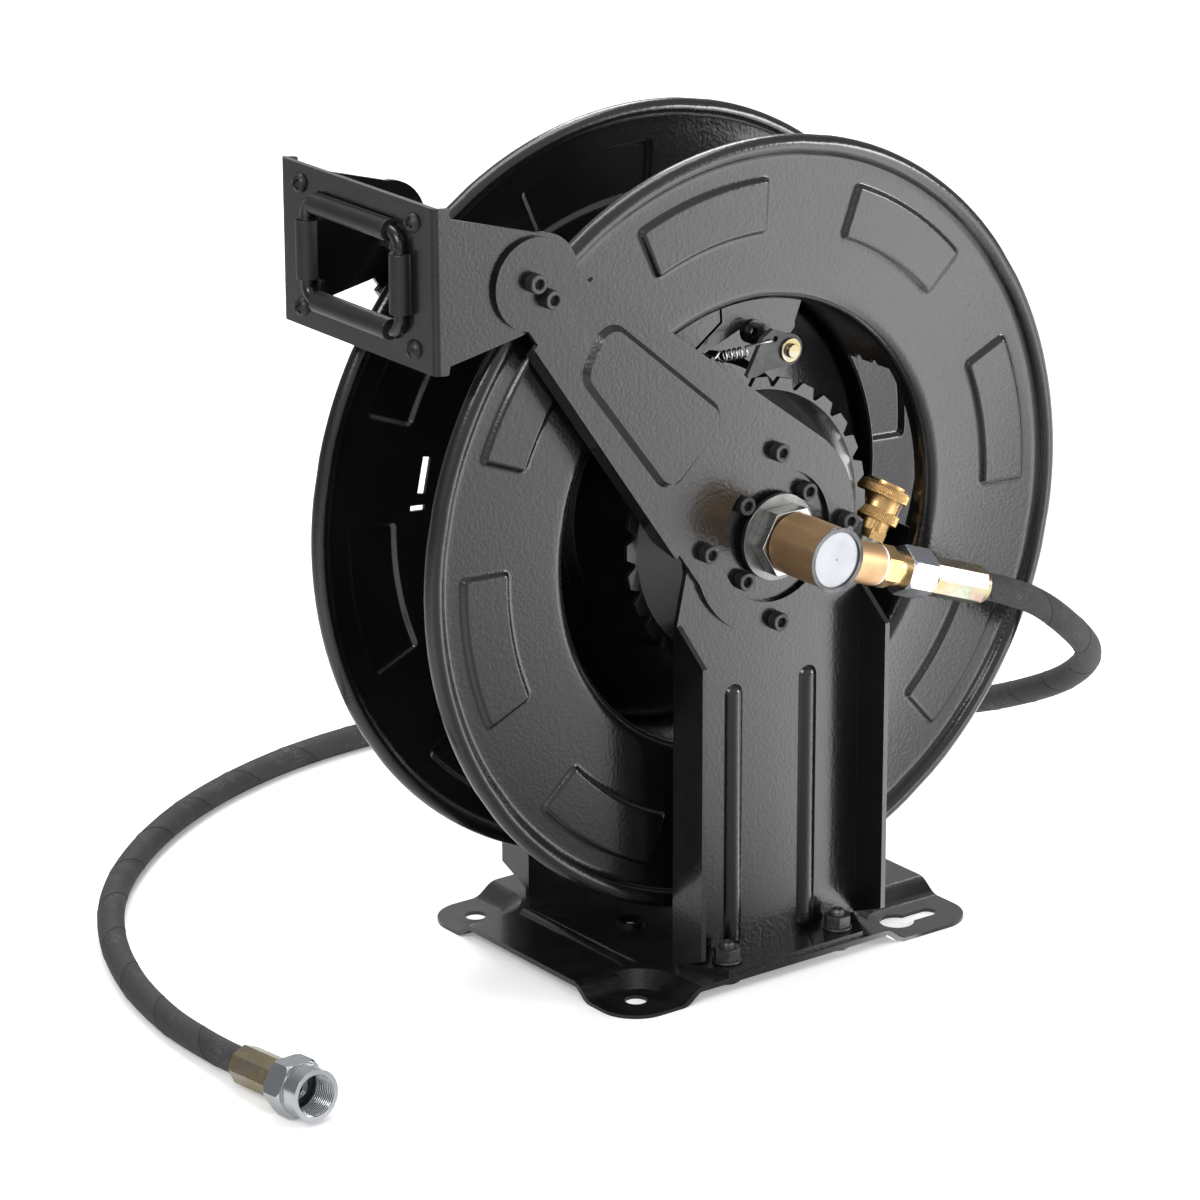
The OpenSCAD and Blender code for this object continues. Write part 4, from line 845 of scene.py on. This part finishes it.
def socket_screw(shank):
    """A socket screw with its seat at the origin: ribbed head, chamfered rim, hexagon socket and shank."""
    ribs = 30

    def ribbed(angle, radius, reach):
        if radius > 4.8 and 0.6 < reach < 5.0:
            return -0.16 * (0.5 + 0.5 * math.cos(angle * ribs))
        if radius == 2.5:
            return in_hexagon(angle, 5.0) - 2.5
        return 0.0

    profile = [(3.0, -shank), (3.0, -0.2), (4.7, 0.0), (5.0, 0.3), (5.0, 0.9), (5.0, 2.8), (5.0, 4.7), (4.97, 5.3),
               (4.8, 5.75), (4.5, 6.0), (3.1, 6.0), (2.95, 5.75), (2.5, 5.6), (2.5, 3.0), (0.6, 2.4), (0.01, 2.4)]
    return turned("socket_screw_sample", profile, ORIGIN, UP, 120, "black_oxide", ribbed, closed=False)


def domed_screw(shank):
    """A domed screw with a crossed recess, its seat at the origin."""
    dome, height = 5.4, 4.2

    def surface(x, y):
        radius = math.hypot(x, y)
        ball = (dome * dome + height * height) / (2 * height)
        top = math.sqrt(max(ball * ball - radius * radius, 0)) - (ball - height)
        slot = min(max(abs(x) / 3.3, abs(y) / 0.85), max(abs(y) / 3.3, abs(x) / 0.85))
        dip = 1.0 - min(max((slot - 0.72) / 0.5, 0.0), 1.0)
        return top - 2.1 * dip * dip * (3 - 2 * dip) * (1 - 0.12 * radius)

    rings, columns = 34, 96
    verts, faces = [Vector((0, 0, surface(0, 0) * 0.001))], []
    for k in range(1, rings + 1):
        radius = dome * k / rings
        for c in range(columns):
            angle = 2 * math.pi * c / columns
            x, y = radius * math.cos(angle), radius * math.sin(angle)
            verts.append(Vector((x, y, max(surface(x, y), 0.0))) * 0.001)
    for radius, level in ((dome, -0.05), (2.6, -0.05), (2.6, -shank), (0.01, -shank)):
        for c in range(columns):
            angle = 2 * math.pi * c / columns
            verts.append(Vector((radius * math.cos(angle), radius * math.sin(angle), level)) * 0.001)
    for c in range(columns):
        faces.append((0, 1 + c, 1 + (c + 1) % columns))
    for k in range(rings + 3):
        for c in range(columns):
            n = (c + 1) % columns
            a, b = 1 + k * columns, 1 + (k + 1) * columns
            faces.append((a + c, b + c, b + n, a + n))
    return face_outwards(new_piece("domed_screw_sample", verts, faces, "black_oxide"))


def hexagon_bar(across_flats, low, high, chamfer=0.7):
    """An upright hexagon bar with its corners turned down at both ends."""
    def six(angle, radius, _):
        return 0.0 if radius < 1 else min(in_hexagon(angle, across_flats), radius) - radius

    corner = across_flats / math.sqrt(3)
    profile = [(0.01, low), (corner - chamfer - 0.6, low), (corner, low + chamfer), (corner, high - chamfer),
               (corner - chamfer - 0.6, high), (0.01, high)]
    return turned("hexagon_bar", profile, ORIGIN, UP, 96, "black_oxide", six, closed=False)


def facing_screws(node, head):
    """Seat points and facings of screws that stand along the axle."""
    places, shank = [], 0
    for low, high in solids_of(node):
        middle = (low + high) / 2
        way = -1 if middle.y < AXLE.y else 1
        seat = (low.y + head) if way < 0 else (high.y - head)
        places.append(((middle.x, seat, middle.z), (0, way, 0)))
        shank = (high.y - low.y - head) * 1000
    return places, shank


SOCKET_HEAD, DOMED_HEAD = 0.006, 0.0044
SHORT_MM = 0.01  # a made shank ends this much before its solid does
for order, node in enumerate(("arm_screws", "tip_screws", "hub_screws")):
    spots, shank_mm = facing_screws(node, SOCKET_HEAD)
    set_out(node + "_ribbed", socket_screw(shank_mm - SHORT_MM), spots, "black_oxide", node, 11 + order)

guide_spots = []
for low, high in solids_of("guide_screws"):
    middle = (low + high) / 2
    guide_spots.append(((low.x + DOMED_HEAD, middle.y, middle.z), (-1, 0, 0)))
    guide_shank_mm = (high.x - low.x - DOMED_HEAD) * 1000
set_out("guide_screws_domed", domed_screw(guide_shank_mm - SHORT_MM), guide_spots, "black_oxide", "guide_screws", 21)


def foot_bolt_pieces():
    """Foot bolts: hexagon head under the plate and a threaded end above the nut."""
    boxes = solids_of("foot_bolts")
    low, high = boxes[0]
    length = (high.z - low.z) * 1000
    head = hexagon_bar(13.0, 0.0, 5.3)
    shank = turned("foot_shank", [(0.01, 5.0), (3.75, 5.0), (3.75, length - 1.0), (3.1, length), (0.01, length)],
                   ORIGIN, UP, 48, "black_oxide", closed=False)
    thread = helix(ORIGIN, UP, 3.72, 1.25, length - 12.0, length - 0.9, 32)
    wound = face_outwards(tube("foot_thread", thread, 0.00036, 6, "black_oxide"))
    sample = join("foot_bolt_sample", [head, shank, wound], "black_oxide")
    spots = [(((a.x + b.x) / 2, (a.y + b.y) / 2, a.z), (0, 0, 1)) for a, b in boxes]
    set_out("foot_bolts_threaded", sample, spots, "black_oxide", "foot_bolts", 31)


foot_bolt_pieces()


# ---------------------------------------------------------------- side discs with pressed pads
def smooth_step(value):
    value = min(max(value, 0.0), 1.0)
    return value * value * (3 - 2 * value)


PAD_COUNT, PAD_HALF, PAD_FIRST = 8, math.radians(13.5), 10.5
PAD_IN, PAD_OUT, PAD_RISE = 158.0, 189.0, 2.5
PAD_CORNER, PAD_SLOPE = 4.0, 3.0
DISC_FRONT, DISC_BACK = 51.0, 49.0  # the two faces of the sheet, along the axle
LIP_CENTRE, LIP_BOUND, LIP_END = (129, 43.5), (7.5, 5.5), 39.5
BEAD_CENTRE, BEAD_RADIUS = (205, 51), 5
# columns of the sheet about the middle of a pad, in degrees: close together on the slopes of the pad
PAD_COLUMNS = ([-18.5, -16.5, -15.2] + [-14.2 + 0.28 * k for k in range(15)] + [-9, -7, -5, -2.5, 0, 2.5, 5, 7, 9]
               + [10.28 + 0.28 * k for k in range(15)] + [15.2, 16.5, 18.5, 20.5])
DISC_SLOTS = ((175, 141, 9, 3), (168, 141, 5, 20))  # (angle, inner radius, radial size, size round the disc)
SLOT_CUT = 12  # how deep the cutter of a slot is


def pad_height(angle_deg, radius):
    """How far the sheet is pressed out at an angle and radius, in millimetres."""
    if not PAD_IN < radius < PAD_OUT:
        return 0.0
    step = 360 / PAD_COUNT
    off = math.radians((angle_deg - PAD_FIRST + step / 2) % step - step / 2)
    q_s = abs(off) * radius - (PAD_HALF * radius - PAD_CORNER)
    q_r = abs(radius - (PAD_IN + PAD_OUT) / 2) - ((PAD_OUT - PAD_IN) / 2 - PAD_CORNER)
    inside = PAD_CORNER - (math.hypot(max(q_s, 0), max(q_r, 0)) + min(max(q_s, q_r), 0))
    return PAD_RISE * smooth_step(inside / PAD_SLOPE)


def arc(centre, radius, degrees):
    """Points of an arc as (radius, distance, whether pads press it)."""
    turns = [math.radians(a) for a in degrees]
    return [(centre[0] + radius * math.cos(a), centre[1] + radius * math.sin(a), 0) for a in turns]


def cut_slot(disc, angle, near, long_by, wide):
    """Cuts one slot through the sheet of a disc."""
    turn = math.radians(angle)
    out = Vector((math.cos(turn), 0, math.sin(turn)))
    side = Vector((-math.sin(turn), 0, math.cos(turn)))
    middle = local(out.x * (near + long_by / 2), 50, out.z * (near + long_by / 2))
    mesh = bpy.data.meshes.new("slot_cutter")
    shape = bmesh.new()
    bmesh.ops.create_cube(shape, size=1.0)
    for v in shape.verts:
        reach = out * v.co.x * long_by + side * v.co.z * wide + Vector((0, 1, 0)) * v.co.y * SLOT_CUT
        v.co = middle + reach * 0.001
    shape.to_mesh(mesh)
    shape.free()
    cutter = face_outwards(add("slot_cutter", mesh))
    cut = disc.modifiers.new("slot", "BOOLEAN")
    cut.operation, cut.solver, cut.object = "DIFFERENCE", "EXACT", cutter
    bake_modifiers(disc)
    bpy.data.objects.remove(cutter)


def make_disc(node, way):
    """One side disc as a single closed sheet; way is -1 for the swivel side."""
    flat = [129, 133, 138, 144, 150, 154, 156] + [158 + 0.75 * i for i in range(43)] + [191.5, 194, 197]
    rows = [(121.5, LIP_END, 0)] + arc(LIP_CENTRE, LIP_BOUND[0], range(180, 90, -9))
    rows += [(r, DISC_FRONT, 1) for r in flat] + [(199.2, 51.2, 0)]
    rows += arc(BEAD_CENTRE, BEAD_RADIUS, range(165, -157, -11)) + [(r, DISC_BACK, 1) for r in reversed(flat)]
    rows += arc(LIP_CENTRE, LIP_BOUND[1], range(99, 181, 9)) + [(123.5, LIP_END, 0)]
    middles = [PAD_FIRST + i * 360 / PAD_COUNT for i in range(PAD_COUNT)]
    angles = [middle + more for middle in middles for more in PAD_COLUMNS]
    verts = []
    for angle in angles:
        turn = math.radians(angle)
        for radius, reach, pressed in rows:
            y = reach + (pad_height(angle, radius) if pressed else 0.0)
            verts.append(local(radius * math.cos(turn), way * y, radius * math.sin(turn)))
    disc = face_outwards(new_piece(node + "_pressed", verts, ring_faces(len(angles), len(rows)), "powder_coat"))
    if way > 0:
        for slot in DISC_SLOTS:
            cut_slot(disc, *slot)
    mark_sharp(disc, 50)
    settle(disc, node)


make_disc("front_disc", -1)
make_disc("rear_disc", 1)


# ---------------------------------------------------------------- coupler sleeve, hose end thread and pawl spring
COUPLER_TILT = math.radians(30)
COUPLER_POINT = local(85, -36, -35.5)
COUPLER_AXIS = (math.sin(COUPLER_TILT), 0, math.cos(COUPLER_TILT))


def make_sleeve():
    """Sliding sleeve with two knurled bands."""
    low_band, high_band = 13.6, 14.4

    def knurl(angle, radius, reach):
        band = low_band if reach < 27 else high_band
        if abs(radius - band) > 0.02:
            return 0.0
        a, b = angle * 60 / (2 * math.pi), reach / 1.5
        first, second = (a + b) % 1.0, (a - b) % 1.0
        return 0.1 - 0.42 * max(1 - 3.2 * min(first, 1 - first), 1 - 3.2 * min(second, 1 - second), 0)

    profile = [(10.56, 20.0), (13.0, 20.0), (13.5, 20.35)]
    profile += [(low_band, 20.6 + 0.2 * i) for i in range(25)]
    profile += [(13.5, 25.75), (13.0, 26.0), (12.0, 26.15), (11.9, 26.5), (11.9, 29.5), (12.1, 32.0), (12.3, 32.9)]
    profile += [(low_band, 33.0), (14.3, 33.3)]
    profile += [(high_band, 33.5 + 0.2 * i) for i in range(24)]
    profile += [(14.3, 38.3), (14.45, 38.5), (14.45, 38.8), (14.1, 39.0), (10.9, 39.0), (10.56, 38.7)]
    sleeve = turned("coupler_sleeve_knurled", profile, COUPLER_POINT, COUPLER_AXIS, 360, "brass", knurl)
    mark_sharp(sleeve, 40)
    settle(sleeve, "coupler_sleeve")


def make_cap():
    """Pressed-in end cap of the swivel, with the rings its turning left."""
    profile = [(0.01, 117.0), (15.4, 117.0), (15.4, 120.6), (15.25, 120.9), (14.9, 121.0)]
    profile += [(14.5 - 0.35 * i, 121.0 - (0.035 if i % 2 else 0.0) - 0.0012 * i) for i in range(38)]
    profile += [(0.9, 120.95), (0.6, 120.75), (0.01, 120.7)]
    cap = turned("swivel_cap_turned", profile, AXLE, (0, -1, 0), 180, "cap_steel", closed=False)
    mark_sharp(cap, 30)
    settle(cap, "swivel_cap")


def make_spring():
    """Wire spring between the bracket's pin and the pawl, from the same values as its source."""
    y, z, start, end = -49.0, 96.0, -26.0, 17.0
    turns, pitch, radius, steps = 5, 3.4, 2.7, 24
    path = [(start + 0.8, y, z), (start + 2.4, y, z)]
    for i in range(turns * steps + 1):
        turn = 2 * math.pi * i / steps
        path.append((start + 5 + pitch * i / steps, y + radius * math.sin(turn), z + radius * math.cos(turn)))
    path += [(end - 4.6, y, z + 2.7), (end - 2.8, y, z + 3.0)]
    wire = tube("pawl_spring_wire", [local(*p) for p in path], 0.0006, 10, "steel")
    settle(face_outwards(wire), "pawl_spring")


make_sleeve()
make_cap()
make_spring()


# ---------------------------------------------------------------- the rest: CAD shapes with rounded edges
# widths of the rounded edges that aren't the usual one, then of the folds, the blunt edges and the outer rims
FINE = {"ratchet_wheel": 0.0004, "swivel_circlip": 0.00012, "port_seal": 0.0002, "swivel_seals": 0.0,
        "power_spring": 0.0, "pawl_pin": 0.0004, "pawl": 0.00035, "guide_nuts": 0.0003, "roller_pins": 0.0002,
        "outlet_pipe": 0.0003, "coupler_body": 0.0003, "shaft_nut": 0.0004, "shaft_washer": 0.0004,
        "end_nut": 0.0004, "end_stem": 0.0003,
        "front_arm": 0.001, "rear_arm": 0.001, "base_plate": 0.0009, "guide_bracket": 0.0008}
OTHER_FINISH = {"swivel_body": "cast_brass", "shaft_washer": "dark_steel", "swivel_circlip": "black_oxide",
                "pawl_pin": "zinc_yellow"}
MADE = {"inlet_hose", "arm_screws", "tip_screws", "hub_screws", "guide_screws", "foot_bolts", "front_disc",
        "rear_disc", "coupler_sleeve", "pawl_spring", "swivel_cap"}
BENDS = {"guide_bracket": (0.2137, 0.068, 0.0035), "front_post": (0.063, 0.068, 0.003),
         "rear_post": (0.063, 0.068, 0.003)}
SOFT = {"base_plate": 0.0030}
RIMS = {"front_arm": 0.0026, "rear_arm": 0.0026}
for node in sorted(set(NODES) - MADE):
    dressed(node, finish=OTHER_FINISH.get(node), edge=FINE.get(node, EDGE),
                           steps=4 if node in BENDS else 3, bend=BENDS.get(node), soft=SOFT.get(node),
                           rim=RIMS.get(node))

thread_path = helix(END_POINT, END_AXIS, 11.05, 1.5, 48.2, 62.9, 64)
end_thread = face_outwards(tube("end_nut_thread", thread_path, 0.00042, 6, "bright_steel"))
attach(end_thread, "end_nut")
